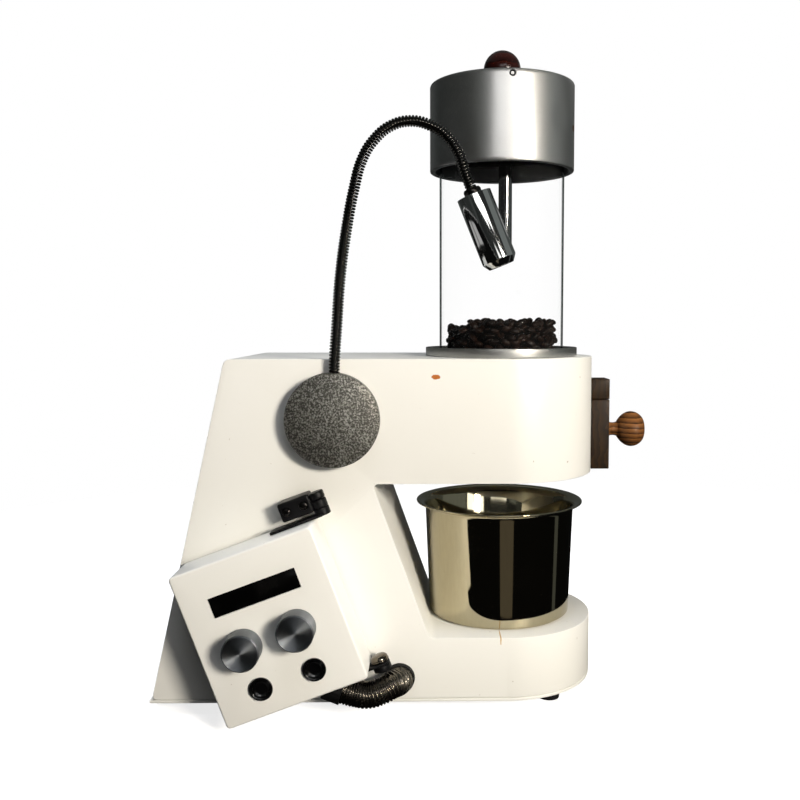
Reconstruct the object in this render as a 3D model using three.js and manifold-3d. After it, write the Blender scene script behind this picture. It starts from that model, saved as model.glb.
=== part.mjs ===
// A countertop hot-air coffee bean roaster, in millimetres.
// X runs along the body towards its round end, Y away from the viewer, Z up from the table.
// While it is built, X = 0 and Y = 0 are the axis of the glass roasting chamber.
import * as THREE from 'three';
import { mergeVertices } from 'three/addons/utils/BufferGeometryUtils.js';
import ManifoldModule from 'manifold-3d';

const wasm = await ManifoldModule();
wasm.setup();

// Fits that every piece shares
const gap = 0.3;
const overrun = 5;
const weld = 0.0001;
const steps = { round: 36, medium: 20, small: 12, fine: 8, corner: 3, soft: 2 };

// Housing: a C-shaped sheet-metal body that stands on a bottom plate and four feet
const feet = {
  height: 9, topRadius: 10, solesRadius: 8.5, stubRadius: 2.5, stubLength: 4, leftX: 245, rightX: 36,
  spreadY: 45,
};
const bottomPlate = { thickness: 2.5, slotLength: 60, slotWidth: 4, slotPitch: 12, slots: 5, slotsX: 205 };
const body = {
  depth: 150, wall: 2, edge: 2.5, cornerReach: 6, baseHeight: 47, openingHeight: 120.1, armHeight: 95.3,
  leftReachAtTop: 214.2, leftReachAtFoot: 275.1, innerReachAtTop: 103.3, innerReachAtFoot: 59.8,
};
const vents = { count: 8, length: 46, width: 4, pitch: 9, up: 135 };
const inlet = {
  width: 27, height: 20, depth: 24, flangeWidth: 36, flangeHeight: 27, flange: 2,
  socketWidth: 22, socketHeight: 14.5, socketDepth: 18, pinWidth: 2, pinHeight: 4, pinLength: 12,
  pinPitch: 7, x: 222, up: 35,
};

// Glass chamber on the arm, with the steel funnel that the beans run down through
const ring = { outerRadius: 62.8, boreRadius: 57, height: 6.9, edge: 0.8 };
const glass = { outerRadius: 51.3, wall: 2.5, length: 160.8 };
const seal = { height: 3 };
const funnel = { wall: 1.5, holeRadius: 50, collarDepth: 4, throatRadius: 18.5, throatLength: 5, depth: 45 };

// Lift-off cap with its ball knob, hanging rod and chaff screen
const cap = { outerRadius: 59.1, wall: 4.5, roof: 5, height: 69.1, aboveArm: 150.6, edge: 1 };
const screen = { radius: 45, wall: 1.5, flange: 2, slots: 12, slotWidth: 8, slotMargin: 7 };
const hangingRod = {
  radius: 5.6, offset: 3, length: 134, flangeRadius: 12, flange: 3, studRadius: 3, studLength: 17,
};
const ball = { radius: 15.2, sink: 1.4 };
const setScrew = { radius: 2.4, length: 3.6, drop: 3.7, angle: -86.7 };

// Discharge gate: a carriage under the funnel, pulled out by the wooden knob
const gate = {
  deck: 2, web: 2, length: 43, screenHoles: 2, screenHoleRadius: 1.7, screenPitch: 5.6,
  axisBelowArm: 61.8, rodRadius: 4,
};
const housing = { wall: 2, width: 54, height: 32, leftReach: 30, rightReach: 62, spoutWall: 1.5 };
const block = { width: 22, thickness: 14.7, height: 75, upperHeight: 17, belowEdge: 1.1, edge: 0.8 };
const knob = { neckRadius: 6.5, neckLength: 8, radius: 14.8, length: 22.5, grip: 12 };

// Hot air: blower, heater tube and heater core
const heater = {
  radius: 24, wall: 1.5, length: 84, flange: 2, coreHub: 6, fins: 8, finThickness: 2.4, coreMargin: 9,
};
const blower = {
  radius: 55, width: 46, wall: 2, ductHeight: 28, inletRadius: 22, impellerRadius: 43,
  impellerWidth: 30, hubRadius: 9, blades: 14, bladeThickness: 1.6, bladeDepth: 14, backPlate: 2,
  motorRadius: 23, shaftRadius: 3, shaftInMotor: 10, axisReach: 172,
};
const powerBoard = { length: 110, width: 84, thickness: 1.6, standOff: 6, standRadius: 3, inset: 6, x: 108 };
const heatSink = { length: 60, width: 24, base: 3, fins: 5, finHeight: 16, finThickness: 1.6 };

// Stainless pot that catches the beans
const pot = {
  rimRadius: 69.5, rimFlare: 4, neckDrop: 3.5, topRadius: 62, bottomRadius: 58.6, height: 94.4,
  wall: 1.4, cornerRadius: 6, leftOfAxis: 1.2,
};

// Control box, hung on a tilted hinge line along its right side
const box = {
  width: 109, height: 119, depth: 39.4, standOff: 3, wall: 2, edge: 2, cornerReach: 4.5, tilt: 20.27,
  centreX: 175.8, centreUp: 70,
};
const hinge = {
  beyondBox: 7.3, offPanel: 15, radius: 5.8, pinRadius: 3, blockWidth: 24.5, blockHeight: 14.5,
  blockDepth: 18, blockGap: 4.9, leaf: 2, leafLength: 34, leafDepth: 13, knuckle: 6, headHeight: 5.8,
  screwRadius: 1.6, screwHead: 3.4, screwHeadHeight: 1.6, screwSpan: 13.5, slotWidth: 0.9,
};
const pivot = {
  radius: 7, domeHeight: 5.2, domeShare: 0.6, postLength: 4.5, pinReach: 3, leafLength: 14,
  bracketWidth: 8, studRadius: 2,
};
const display = { width: 66.6, height: 15.2, raise: 28.2, moduleWidth: 80, moduleHeight: 30, moduleDepth: 8 };
const controls = { spread: 20.5, dialDrop: 5.4, buttonDrop: 39 };
const dial = {
  radius: 13.4, length: 16, edge: 1, boreDepth: 11, shaftRadius: 3, bushingRadius: 3.6, lift: 1.2,
  bodySize: 13, bodyDepth: 8,
};
const button = {
  bezelRadius: 8.6, bezelHeight: 1.8, barrelRadius: 7.7, barrelLength: 19, capRadius: 6.1,
  capLength: 7, capProud: 0.5, travel: 2.5, dish: 0.7, dishShare: 0.8,
};
const board = { sideMargin: 3.5, topMargin: 2.75, drop: 27, thickness: 1.6 };

// Cable conduit from the body to the control box
const conduit = { radius: 10.2, ribDepth: 1, boreRadius: 7.9, ribs: 32, sides: 10, ribsPerBoreRing: 4 };
const grommet = { radius: 11.8, height: 4, neck: 1.6, x: 83, up: 16.5 };
const elbow = { wall: 1, barrelRadius: 11.5, barrelDrop: 4, stubRadius: 6, stubLength: 5, grip: 5 };
// Centreline of the conduit, chosen by hand along the hose that shows.
// Each point lies along, above and in front of the grommet's middle on the panel.
const conduitRoute = [
  [0, 0, -19], [0, 0, -9], [0, 0, -1], [0, 0, 4.5], [-0.9, 0.5, 9.9], [-5.4, 0.7, 15.4],
  [-13, -2.2, 19.1], [-22.7, -5, 19.2], [-32, -4.8, 17.6], [-40.5, -3.1, 16.2], [-46.5, -1.1, 15.3],
];

// Lamp on a magnetic disc, with a gooseneck
const lamp = {
  discRadius: 35.6, discThickness: 12, discEdge: 1.6, discX: 132.6, discUp: 217.1, headRadius: 13,
  headLength: 56, tipRadius: 9.5, tipLength: 5, ferruleRadius: 6.6, ferruleLength: 5, neckGrip: 7,
  headAxisAngle: 21.9, lensRadius: 7.6, lensThickness: 2.5, lensDepth: 4,
};
const neck = { radius: 4.3, ribDepth: 0.5, boreRadius: 2.9, ribs: 75, sides: 8, ribsPerBoreRing: 5 };
// Centreline of the gooseneck, chosen by hand in a plane before the panel, down to the lamp's head.
// Each point lies along and above the disc's axis.
const neckRoute = [
  [1.8, 28.1], [1.8, 36.1], [2.1, 46.1], [3.7, 67.2], [7, 108.7], [11.8, 142.2], [17.4, 170.8],
  [23.8, 192.8], [32.8, 206.9], [44.6, 216.4], [58.8, 220], [73.2, 217.1], [84.6, 210.1],
  [93.6, 198.2], [99.2, 182.4], [103.1, 172.5], [105.5, 166.6],
];

// Levels and places that follow from the sizes above
const halfDepth = body.depth / 2;
const plateTop = feet.height + bottomPlate.thickness;
const bodyFoot = plateTop + gap;
const baseTop = bodyFoot + body.baseHeight;
const armUnder = baseTop + body.openingHeight;
const armTop = armUnder + body.armHeight;
const gateZ = armTop - gate.axisBelowArm;
const glassFoot = armTop + gap + funnel.wall + gap;
const glassTop = glassFoot + glass.length;
const capFoot = armTop + cap.aboveArm;
const capTop = capFoot + cap.height;
const roofUnder = capTop - cap.roof;
const quarterTurn = Math.PI / 2;
const tilt = THREE.MathUtils.degToRad(box.tilt);

// Finishes: colour, roughness and metalness
const finishes = {
  cream: [0xf5ecde, 0.45, 0],
  satinAluminium: [0xc9c7c2, 0.32, 1],
  steel: [0xbfbfbd, 0.2, 1],
  chrome: [0xd8d8d8, 0.08, 1],
  blackChrome: [0x3a3a3c, 0.18, 1],
  blackGloss: [0x0c0c0d, 0.15, 0],
  blackSatin: [0x161617, 0.5, 0],
  rubber: [0x101010, 0.8, 0],
  clearGlass: [0xe6eeec, 0.03, 0],
  redWood: [0x4a1512, 0.2, 0],
  walnut: [0x3c2819, 0.45, 0],
  stripedWood: [0x5a371e, 0.4, 0],
  castGrey: [0x8a8a88, 0.7, 0.6],
  ceramic: [0xe4ded0, 0.8, 0],
  boardGreen: [0x1e5a36, 0.5, 0],
  motorGrey: [0x55585c, 0.45, 0.8],
  displayBlack: [0x050506, 0.1, 0],
};

const roaster = new THREE.Group();
// Frame on the front panel: x along the body, y up from its foot, z out towards the viewer
const front = new THREE.Group();
front.rotation.x = quarterTurn;
front.position.set(0, -halfDepth, bodyFoot);
roaster.add(front);
// Frame of the control box: x across it, y up its tilted side, z out towards the viewer
const tilted = new THREE.Group();
tilted.position.set(-box.centreX, box.centreUp, 0);
tilted.rotation.z = tilt;
front.add(tilted);
roaster.updateMatrixWorld(true);

/** Makes a solid of a closed three.js geometry, with its faces pointing out. */
function solid(geometry) {
  const bare = geometry.clone();
  bare.deleteAttribute('normal');
  bare.deleteAttribute('uv');
  const merged = mergeVertices(bare, weld);
  const places = merged.attributes.position;
  const found = merged.index.array;
  const triangles = [];
  const [a, b, c] = [new THREE.Vector3(), new THREE.Vector3(), new THREE.Vector3()];
  let volume = 0;
  for (let i = 0; i < found.length; i += 3) {
    const [p, q, r] = [found[i], found[i + 1], found[i + 2]];
    if (p === q || q === r || r === p) continue;
    triangles.push([p, q, r]);
    a.fromBufferAttribute(places, p);
    b.fromBufferAttribute(places, q);
    c.fromBufferAttribute(places, r);
    volume += a.dot(b.cross(c));
  }
  const facing = volume < 0 ? triangles.map(([p, q, r]) => [p, r, q]) : triangles;
  const mesh = new wasm.Mesh({
    numProp: 3,
    vertProperties: Float32Array.from(places.array),
    triVerts: Uint32Array.from(facing.flat()),
  });
  return new wasm.Manifold(mesh);
}

/** Gives a joined or cut solid back as a geometry. */
function geometryOf(shape) {
  const mesh = shape.getMesh();
  const geometry = new THREE.BufferGeometry();
  geometry.setAttribute('position', new THREE.BufferAttribute(Float32Array.from(mesh.vertProperties), 3));
  geometry.setIndex(Array.from(mesh.triVerts));
  geometry.computeVertexNormals();
  return geometry;
}

/** Adds one piece to a group as a named mesh with a material of its own. */
function add(name, shape, finish, group = roaster) {
  const [color, roughness, metalness] = finishes[finish];
  const material = new THREE.MeshStandardMaterial({ color, roughness, metalness });
  const mesh = new THREE.Mesh(geometryOf(shape), material);
  mesh.name = name;
  group.add(mesh);
}

/** Joins several solids into one. */
function joined(...shapes) {
  return shapes.reduce((whole, shape) => whole.add(shape));
}

/** Cuts several tools out of a solid. */
function cut(shape, ...tools) {
  return tools.reduce((left, tool) => left.subtract(tool), shape);
}

/** A box between two corners. */
function slab([x0, y0, z0], [x1, y1, z1]) {
  const geometry = new THREE.BoxGeometry(x1 - x0, y1 - y0, z1 - z0);
  geometry.translate((x0 + x1) / 2, (y0 + y1) / 2, (z0 + z1) / 2);
  return solid(geometry);
}

/** A round bar between two points. */
function bar(radius, from, to, sides = steps.medium, endRadius = radius) {
  const start = new THREE.Vector3(...from);
  const run = new THREE.Vector3(...to).sub(start);
  const geometry = new THREE.CylinderGeometry(endRadius, radius, run.length(), sides);
  geometry.translate(0, run.length() / 2, 0);
  const turn = new THREE.Quaternion().setFromUnitVectors(new THREE.Vector3(0, 1, 0), run.normalize());
  geometry.applyQuaternion(turn);
  geometry.translate(start.x, start.y, start.z);
  return solid(geometry);
}

/** A body turned about Z from a closed profile of radius and height. */
function turned(profile, sides = steps.round) {
  const points = profile.map(([radius, height]) => new THREE.Vector2(radius, height));
  const closes = profile[0][0] > 0 || profile[profile.length - 1][0] > 0;
  const geometry = new THREE.LatheGeometry(closes ? [...points, points[0]] : points, sides);
  geometry.rotateX(quarterTurn);
  return solid(geometry);
}

/** The same body turned about X. */
function turnedAlongX(profile, sides = steps.medium) {
  const geometry = geometryOf(turned(profile, sides));
  geometry.rotateY(quarterTurn);
  return solid(geometry);
}

/** Moves a solid. */
function moved(shape, x, y, z) {
  return solid(geometryOf(shape).translate(x, y, z));
}

/** A flat outline drawn in X and Y and raised along Z. */
function raised(shape, from, to, soft = 0, sides = steps.medium / 2) {
  const geometry = new THREE.ExtrudeGeometry(shape, {
    depth: to - from - 2 * soft,
    bevelEnabled: soft > 0,
    bevelSize: soft,
    bevelThickness: soft,
    bevelOffset: -soft,
    bevelSegments: steps.soft,
    curveSegments: sides,
  });
  geometry.translate(0, 0, from + soft);
  return solid(geometry);
}

/** A flat outline drawn in X and Z and run along Y. */
function acrossBody(shape, from, to, soft = 0, sides = steps.medium / 2) {
  const geometry = geometryOf(raised(shape, -to, -from, soft, sides));
  geometry.rotateX(quarterTurn);
  return solid(geometry);
}

/** Puts a solid of one frame into the frame of the whole. */
function inWhole(shape, group) {
  return solid(geometryOf(shape).applyMatrix4(group.matrixWorld));
}

/** Straight-sided outline through points. */
function outline(points) {
  return new THREE.Shape(points.map(([x, y]) => new THREE.Vector2(x, y)));
}

/** An outline with its corners rounded from a reach along each side. */
function rounded(points, reach) {
  const corners = points.map(([x, y]) => new THREE.Vector2(x, y));
  const shape = new THREE.Shape();
  corners.forEach((corner, i) => {
    const before = corners[(i + corners.length - 1) % corners.length];
    const after = corners[(i + 1) % corners.length];
    const start = corner.clone().add(before.clone().sub(corner).setLength(reach));
    const end = corner.clone().add(after.clone().sub(corner).setLength(reach));
    if (i === 0) shape.moveTo(start.x, start.y);
    else shape.lineTo(start.x, start.y);
    shape.quadraticCurveTo(corner.x, corner.y, end.x, end.y);
  });
  shape.closePath();
  return shape;
}

/** Moves every side of a counter-clockwise outline inwards. */
function inset(points, distance) {
  const sides = points.map((start, i) => {
    const end = points[(i + 1) % points.length];
    const length = Math.hypot(end[0] - start[0], end[1] - start[1]);
    const way = [(end[0] - start[0]) / length, (end[1] - start[1]) / length];
    return { at: [start[0] - way[1] * distance, start[1] + way[0] * distance], way };
  });
  return sides.map((side, i) => {
    const last = sides[(i + sides.length - 1) % sides.length];
    const cross = last.way[0] * side.way[1] - last.way[1] * side.way[0];
    const [dx, dy] = [side.at[0] - last.at[0], side.at[1] - last.at[1]];
    const along = (dx * side.way[1] - dy * side.way[0]) / cross;
    return [last.at[0] + last.way[0] * along, last.at[1] + last.way[1] * along];
  });
}

/** Plan of the body: straight sides with a half-round end about the chamber's axis. */
function plan(radius, left) {
  const shape = new THREE.Shape();
  shape.moveTo(left, -radius);
  shape.lineTo(0, -radius);
  shape.absarc(0, 0, radius, -quarterTurn, quarterTurn, false);
  shape.lineTo(left, radius);
  shape.closePath();
  return shape;
}

/** X of the slanted left side at a height. */
function leftAt(height) {
  const rise = (height - bodyFoot) / (armTop - bodyFoot);
  return -body.leftReachAtFoot + rise * (body.leftReachAtFoot - body.leftReachAtTop);
}

/** Points of the C-shaped side, down to a given foot and out to a given end. */
function sideOf(foot, end) {
  return [
    [leftAt(foot), foot], [end, foot], [end, baseTop], [-body.innerReachAtFoot, baseTop],
    [-body.innerReachAtTop, armUnder], [end, armUnder], [end, armTop], [-body.leftReachAtTop, armTop],
  ];
}

/** A hose with ribs outside and a plain bore, along a smooth route. */
function ribbedHose(points, hose, name) {
  const curve = new THREE.CatmullRomCurve3(points, false, 'centripetal');
  const rings = 2 * Math.round(hose.ribs);
  const boreRings = Math.round(hose.ribs / hose.ribsPerBoreRing);
  const frames = curve.computeFrenetFrames(rings, false);
  const places = [];
  const triangles = [];
  const addRing = (index, radius) => {
    const centre = curve.getPointAt(index / rings);
    for (let side = 0; side < hose.sides; side += 1) {
      const angle = (side * 2 * Math.PI) / hose.sides;
      const spot = centre.clone();
      spot.addScaledVector(frames.normals[index], radius * Math.cos(angle));
      spot.addScaledVector(frames.binormals[index], radius * Math.sin(angle));
      places.push(spot.x, spot.y, spot.z);
    }
  };
  const bridge = (first, second) => {
    for (let side = 0; side < hose.sides; side += 1) {
      const next = (side + 1) % hose.sides;
      triangles.push(first + side, first + next, second + next);
      triangles.push(first + side, second + next, second + side);
    }
  };
  for (let i = 0; i <= rings; i += 1) {
    addRing(i, i % 2 === 0 ? hose.radius : hose.radius - hose.ribDepth);
    if (i > 0) bridge((i - 1) * hose.sides, i * hose.sides);
  }
  const boreStart = (rings + 1) * hose.sides;
  for (let i = 0; i <= boreRings; i += 1) {
    addRing(Math.round((i * rings) / boreRings), hose.boreRadius);
    if (i > 0) bridge(boreStart + i * hose.sides, boreStart + (i - 1) * hose.sides);
  }
  bridge(boreStart, 0);
  bridge(rings * hose.sides, boreStart + boreRings * hose.sides);
  const geometry = new THREE.BufferGeometry();
  geometry.setAttribute('position', new THREE.BufferAttribute(new Float32Array(places), 3));
  geometry.setIndex(triangles);
  const [long, least] = [curve.getLength(), leastGap(curve, hose)];
  console.log(`${name}: ${long.toFixed(1)} mm long, ${least.toFixed(2)} mm to itself`);
  return solid(geometry);
}

/** The least gap between stretches of a hose that are not next to each other. */
function leastGap(curve, hose) {
  const spots = curve.getSpacedPoints(hose.ribs);
  const pitch = curve.getLength() / hose.ribs;
  const apart = Math.ceil((Math.PI * hose.radius) / pitch);
  let least = Infinity;
  for (let i = 0; i < spots.length; i += 1) {
    for (let j = i + apart; j < spots.length; j += 1) {
      least = Math.min(least, spots[i].distanceTo(spots[j]) - 2 * hose.radius);
    }
  }
  return least;
}

// Body shell: the C-shaped side and the round-ended plan cut each other, hollow, open below
const farEnd = halfDepth + overrun;
const farLeft = -body.leftReachAtFoot - overrun;
const softPlan = joined(
  slab([farLeft, -halfDepth, bodyFoot], [0, halfDepth, armTop]),
  raised(plan(halfDepth, farLeft), bodyFoot, baseTop, body.edge),
  raised(plan(halfDepth, farLeft), armUnder, armTop, body.edge),
);
const outerSide = rounded(sideOf(bodyFoot, farEnd), body.cornerReach);
const outer = acrossBody(outerSide, -halfDepth, halfDepth, body.edge, steps.corner);
const innerHalf = halfDepth - body.wall;
const innerSide = inset(sideOf(bodyFoot - body.wall - overrun, farEnd + 2 * overrun), body.wall);
const hollow = acrossBody(outline(innerSide), -innerHalf, innerHalf)
  .intersect(raised(plan(innerHalf, farLeft), 0, capTop));
const spoutRadius = funnel.throatRadius + housing.spoutWall;
const ventZ = bodyFoot + vents.up;
const inletZ = bodyFoot + inlet.up;
const ventCuts = [];
for (let i = 0; i < vents.count; i += 1) {
  const x = -blower.axisReach + (i - (vents.count - 1) / 2) * vents.pitch;
  ventCuts.push(slab(
    [x - vents.width / 2, innerHalf - overrun, ventZ - vents.length / 2],
    [x + vents.width / 2, halfDepth + overrun, ventZ + vents.length / 2],
  ));
}
// Places on the hinge line and of the block's screws, in the frame of the control box
const hingeX = box.width / 2 + hinge.beyondBox;
const boxTopY = box.height / 2;
const blockLeft = hingeX - hinge.radius - hinge.blockWidth + gap;
const blockFoot = boxTopY + hinge.blockGap;
const screwY = blockFoot + hinge.blockHeight / 2;
const screwXs = [-1, 1].map((side) => blockLeft + (hinge.blockWidth + side * hinge.screwSpan) / 2);
const screwHoles = screwXs.map((x) => inWhole(
  bar(hinge.screwRadius + gap, [x, screwY, -body.wall - overrun], [x, screwY, overrun], steps.fine),
  tilted,
));
const leafTop = boxTopY + gap + hinge.leaf;
const leafUnder = -leafTop;
const postTop = leafUnder - gap;
const postFoot = postTop - pivot.postLength;
const studY = (postTop + postFoot) / 2;
const studHole = inWhole(
  bar(pivot.studRadius + gap, [hingeX, studY, -body.wall - overrun], [hingeX, studY, overrun], steps.fine),
  tilted,
);
const bodyShell = cut(
  outer.intersect(softPlan),
  hollow,
  bar(funnel.holeRadius, [0, 0, armTop - body.wall - overrun], [0, 0, armTop + overrun], steps.round),
  bar(spoutRadius + gap, [0, 0, armUnder - overrun], [0, 0, armUnder + body.wall + overrun]),
  bar(gate.rodRadius + gap, [innerHalf - overrun, 0, gateZ], [farEnd, 0, gateZ], steps.small),
  inWhole(bar(
    grommet.neck / 2 + conduit.radius + gap, [-grommet.x, grommet.up, -overrun],
    [-grommet.x, grommet.up, overrun],
  ), front),
  slab(
    [-inlet.x - inlet.width / 2 - gap, innerHalf - overrun, inletZ - inlet.height / 2 - gap],
    [-inlet.x + inlet.width / 2 + gap, halfDepth + overrun, inletZ + inlet.height / 2 + gap],
  ),
  studHole,
  ...screwHoles,
  ...ventCuts,
);
add('body_shell', bodyShell, 'cream');

// Bottom plate with cooling slots, and the feet that screw through it
const footPlaces = [
  ['foot_left_front', -feet.leftX, -feet.spreadY],
  ['foot_left_back', -feet.leftX, feet.spreadY],
  ['foot_right_front', feet.rightX, -feet.spreadY],
  ['foot_right_back', feet.rightX, feet.spreadY],
];
const slotCuts = [];
for (let i = 0; i < bottomPlate.slots; i += 1) {
  const y = (i - (bottomPlate.slots - 1) / 2) * bottomPlate.slotPitch;
  slotCuts.push(slab(
    [-bottomPlate.slotsX - bottomPlate.slotLength / 2, y - bottomPlate.slotWidth / 2, 0],
    [-bottomPlate.slotsX + bottomPlate.slotLength / 2, y + bottomPlate.slotWidth / 2, plateTop + overrun],
  ));
}
const footHoles = footPlaces.map(([, x, y]) => (
  bar(feet.stubRadius + gap, [x, y, 0], [x, y, plateTop + overrun], steps.fine)
));
add('bottom_plate', cut(
  raised(plan(halfDepth, leftAt(feet.height)), feet.height, plateTop),
  ...slotCuts,
  ...footHoles,
), 'cream');
for (const [name, x, y] of footPlaces) {
  const top = feet.height - gap;
  add(name, joined(
    bar(feet.solesRadius, [x, y, 0], [x, y, top], steps.small, feet.topRadius),
    bar(feet.stubRadius, [x, y, top / 2], [x, y, top + feet.stubLength + gap], steps.fine),
  ), 'rubber');
}

// Mains inlet on the back, with its three pins
const inletBack = halfDepth + gap + inlet.flange;
const pinFoot = inletBack - inlet.socketDepth - overrun / 2;
const pins = [-1, 0, 1].map((side) => slab(
  [-inlet.x + side * inlet.pinPitch - inlet.pinWidth / 2, pinFoot, inletZ - inlet.pinHeight / 2],
  [-inlet.x + side * inlet.pinPitch + inlet.pinWidth / 2, pinFoot + inlet.pinLength,
    inletZ + inlet.pinHeight / 2],
));
add('mains_inlet', joined(cut(
  joined(
    slab(
      [-inlet.x - inlet.flangeWidth / 2, halfDepth + gap, inletZ - inlet.flangeHeight / 2],
      [-inlet.x + inlet.flangeWidth / 2, inletBack, inletZ + inlet.flangeHeight / 2],
    ),
    slab(
      [-inlet.x - inlet.width / 2, inletBack - inlet.depth, inletZ - inlet.height / 2],
      [-inlet.x + inlet.width / 2, inletBack, inletZ + inlet.height / 2],
    ),
  ),
  slab(
    [-inlet.x - inlet.socketWidth / 2, inletBack - inlet.socketDepth, inletZ - inlet.socketHeight / 2],
    [-inlet.x + inlet.socketWidth / 2, inletBack + overrun, inletZ + inlet.socketHeight / 2],
  ),
), ...pins), 'blackSatin');

// Steel funnel hung in the arm, its flange under the glass
const flangeTop = armTop + gap + funnel.wall;
const collarRadius = funnel.holeRadius - gap;
const coneTop = armTop - funnel.collarDepth;
const throatTop = armTop - funnel.depth + funnel.throatLength;
const throatFoot = armTop - funnel.depth;
const throatOuter = funnel.throatRadius + funnel.wall;
add('bean_funnel', turned([
  [collarRadius - funnel.wall, flangeTop], [collarRadius - funnel.wall, coneTop],
  [funnel.throatRadius, throatTop], [funnel.throatRadius, throatFoot], [throatOuter, throatFoot],
  [throatOuter, throatTop], [collarRadius, coneTop], [collarRadius, armTop + gap],
  [ring.boreRadius - gap, armTop + gap], [ring.boreRadius - gap, flangeTop],
], steps.medium), 'steel');
const ringFoot = armTop + gap;
const ringTop = ringFoot + ring.height;
add('chamber_ring', turned([
  [ring.boreRadius, ringFoot], [ring.outerRadius, ringFoot], [ring.outerRadius, ringTop - ring.edge],
  [ring.outerRadius - ring.edge, ringTop], [ring.boreRadius + ring.edge, ringTop],
  [ring.boreRadius, ringTop - ring.edge],
]), 'satinAluminium');
const sealInner = glass.outerRadius + gap;
add('chamber_seal', turned([
  [sealInner, glassFoot], [ring.boreRadius - gap, glassFoot],
  [ring.boreRadius - gap, glassFoot + seal.height], [sealInner, glassFoot + seal.height],
]), 'rubber');
const glassBore = glass.outerRadius - glass.wall;
add('glass_tube', turned([
  [glassBore, glassFoot], [glass.outerRadius, glassFoot], [glass.outerRadius, glassTop],
  [glassBore, glassTop],
]), 'clearGlass');

// Cap: a thick drum, open below, that stands on the chaff screen and the screen on the glass
const capBore = cap.outerRadius - cap.wall;
const screwZ = capTop - setScrew.drop;
const screwAngle = THREE.MathUtils.degToRad(setScrew.angle);
/** A point on the set screw's axis at a distance from the cap's axis. */
function onScrew(distance) {
  return [distance * Math.cos(screwAngle), distance * Math.sin(screwAngle), screwZ];
}
const screwFloor = cap.outerRadius - setScrew.length;
add('cap_shell', cut(
  turned([
    [0, capTop], [0, roofUnder], [capBore, roofUnder], [capBore, capFoot + cap.edge],
    [capBore + cap.edge, capFoot], [cap.outerRadius - cap.edge, capFoot],
    [cap.outerRadius, capFoot + cap.edge], [cap.outerRadius, capTop - cap.edge],
    [cap.outerRadius - cap.edge, capTop],
  ]),
  bar(hangingRod.studRadius + gap, [0, 0, roofUnder - overrun], [0, 0, capTop + overrun], steps.small),
  bar(setScrew.radius + gap, onScrew(screwFloor - gap), onScrew(farEnd), steps.fine),
), 'satinAluminium');
add('cap_set_screw', cut(
  bar(setScrew.radius, onScrew(screwFloor), onScrew(cap.outerRadius - gap), steps.fine),
  bar(setScrew.radius / 2, onScrew(cap.outerRadius - setScrew.length / 2), onScrew(farEnd), 6),
), 'steel');
const rodTop = roofUnder - gap;
const rodFoot = rodTop - hangingRod.flange - hangingRod.length;
add('centre_rod', joined(
  bar(hangingRod.flangeRadius, [0, 0, rodTop - hangingRod.flange], [0, 0, rodTop]),
  bar(hangingRod.studRadius, [0, 0, rodTop - hangingRod.flange / 2], [0, 0, rodTop + hangingRod.studLength],
    steps.small),
  bar(hangingRod.radius, [hangingRod.offset, 0, rodFoot], [hangingRod.offset, 0, rodTop - gap], steps.small),
), 'chrome');
const ballZ = capTop + gap + ball.radius - ball.sink;
const ballProfile = [];
const ballCut = Math.acos((ball.radius - ball.sink) / ball.radius);
for (let i = 0; i <= steps.fine; i += 1) {
  const angle = Math.PI - ballCut - (i * (Math.PI - ballCut)) / steps.fine;
  ballProfile.push([ball.radius * Math.sin(angle), ballZ + ball.radius * Math.cos(angle)]);
}
ballProfile[steps.fine][0] = 0;
const studTop = rodTop + hangingRod.studLength;
add('ball_knob', cut(
  turned([[0, capTop + gap], ...ballProfile], steps.medium),
  bar(hangingRod.studRadius + gap, [0, 0, capTop], [0, 0, studTop + gap], steps.small),
), 'redWood');
const screenFoot = glassTop + gap;
const screenTop = roofUnder - gap;
const screenBore = screen.radius - screen.wall;
const slotTurns = Array.from({ length: screen.slots / 2 }, (_, i) => (i * 2 * Math.PI) / screen.slots);
const screenSlots = slotTurns.map((angle) => {
  const slot = new THREE.BoxGeometry(
    2 * (screen.radius + overrun), screen.slotWidth, screenTop - screenFoot - 2 * screen.slotMargin,
  );
  slot.rotateZ(angle);
  slot.translate(0, 0, (screenTop + screenFoot) / 2);
  return solid(slot);
});
add('chaff_screen', cut(
  turned([
    [screenBore, screenFoot], [glass.outerRadius, screenFoot],
    [glass.outerRadius, screenFoot + screen.flange], [screen.radius, screenFoot + screen.flange],
    [screen.radius, screenTop], [screenBore, screenTop],
  ], steps.medium),
  ...screenSlots,
), 'steel');

// Gate housing: a rectangular guide with the funnel's throat above and the spout below
const guideTop = gateZ + housing.height / 2;
const guideFoot = gateZ - housing.height / 2;
const guideHalf = housing.width / 2;
add('gate_housing', cut(
  joined(
    slab([-housing.leftReach, -guideHalf, guideFoot], [housing.rightReach, guideHalf, guideTop]),
    bar(spoutRadius, [0, 0, armUnder], [0, 0, gateZ]),
  ),
  slab(
    [-housing.leftReach - overrun, -guideHalf + housing.wall, guideFoot + housing.wall],
    [housing.rightReach + overrun, guideHalf - housing.wall, guideTop - housing.wall],
  ),
  bar(funnel.throatRadius, [0, 0, armUnder - overrun], [0, 0, gateZ]),
  bar(throatOuter + gap, [0, 0, gateZ], [0, 0, guideTop + overrun]),
), 'steel');
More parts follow.
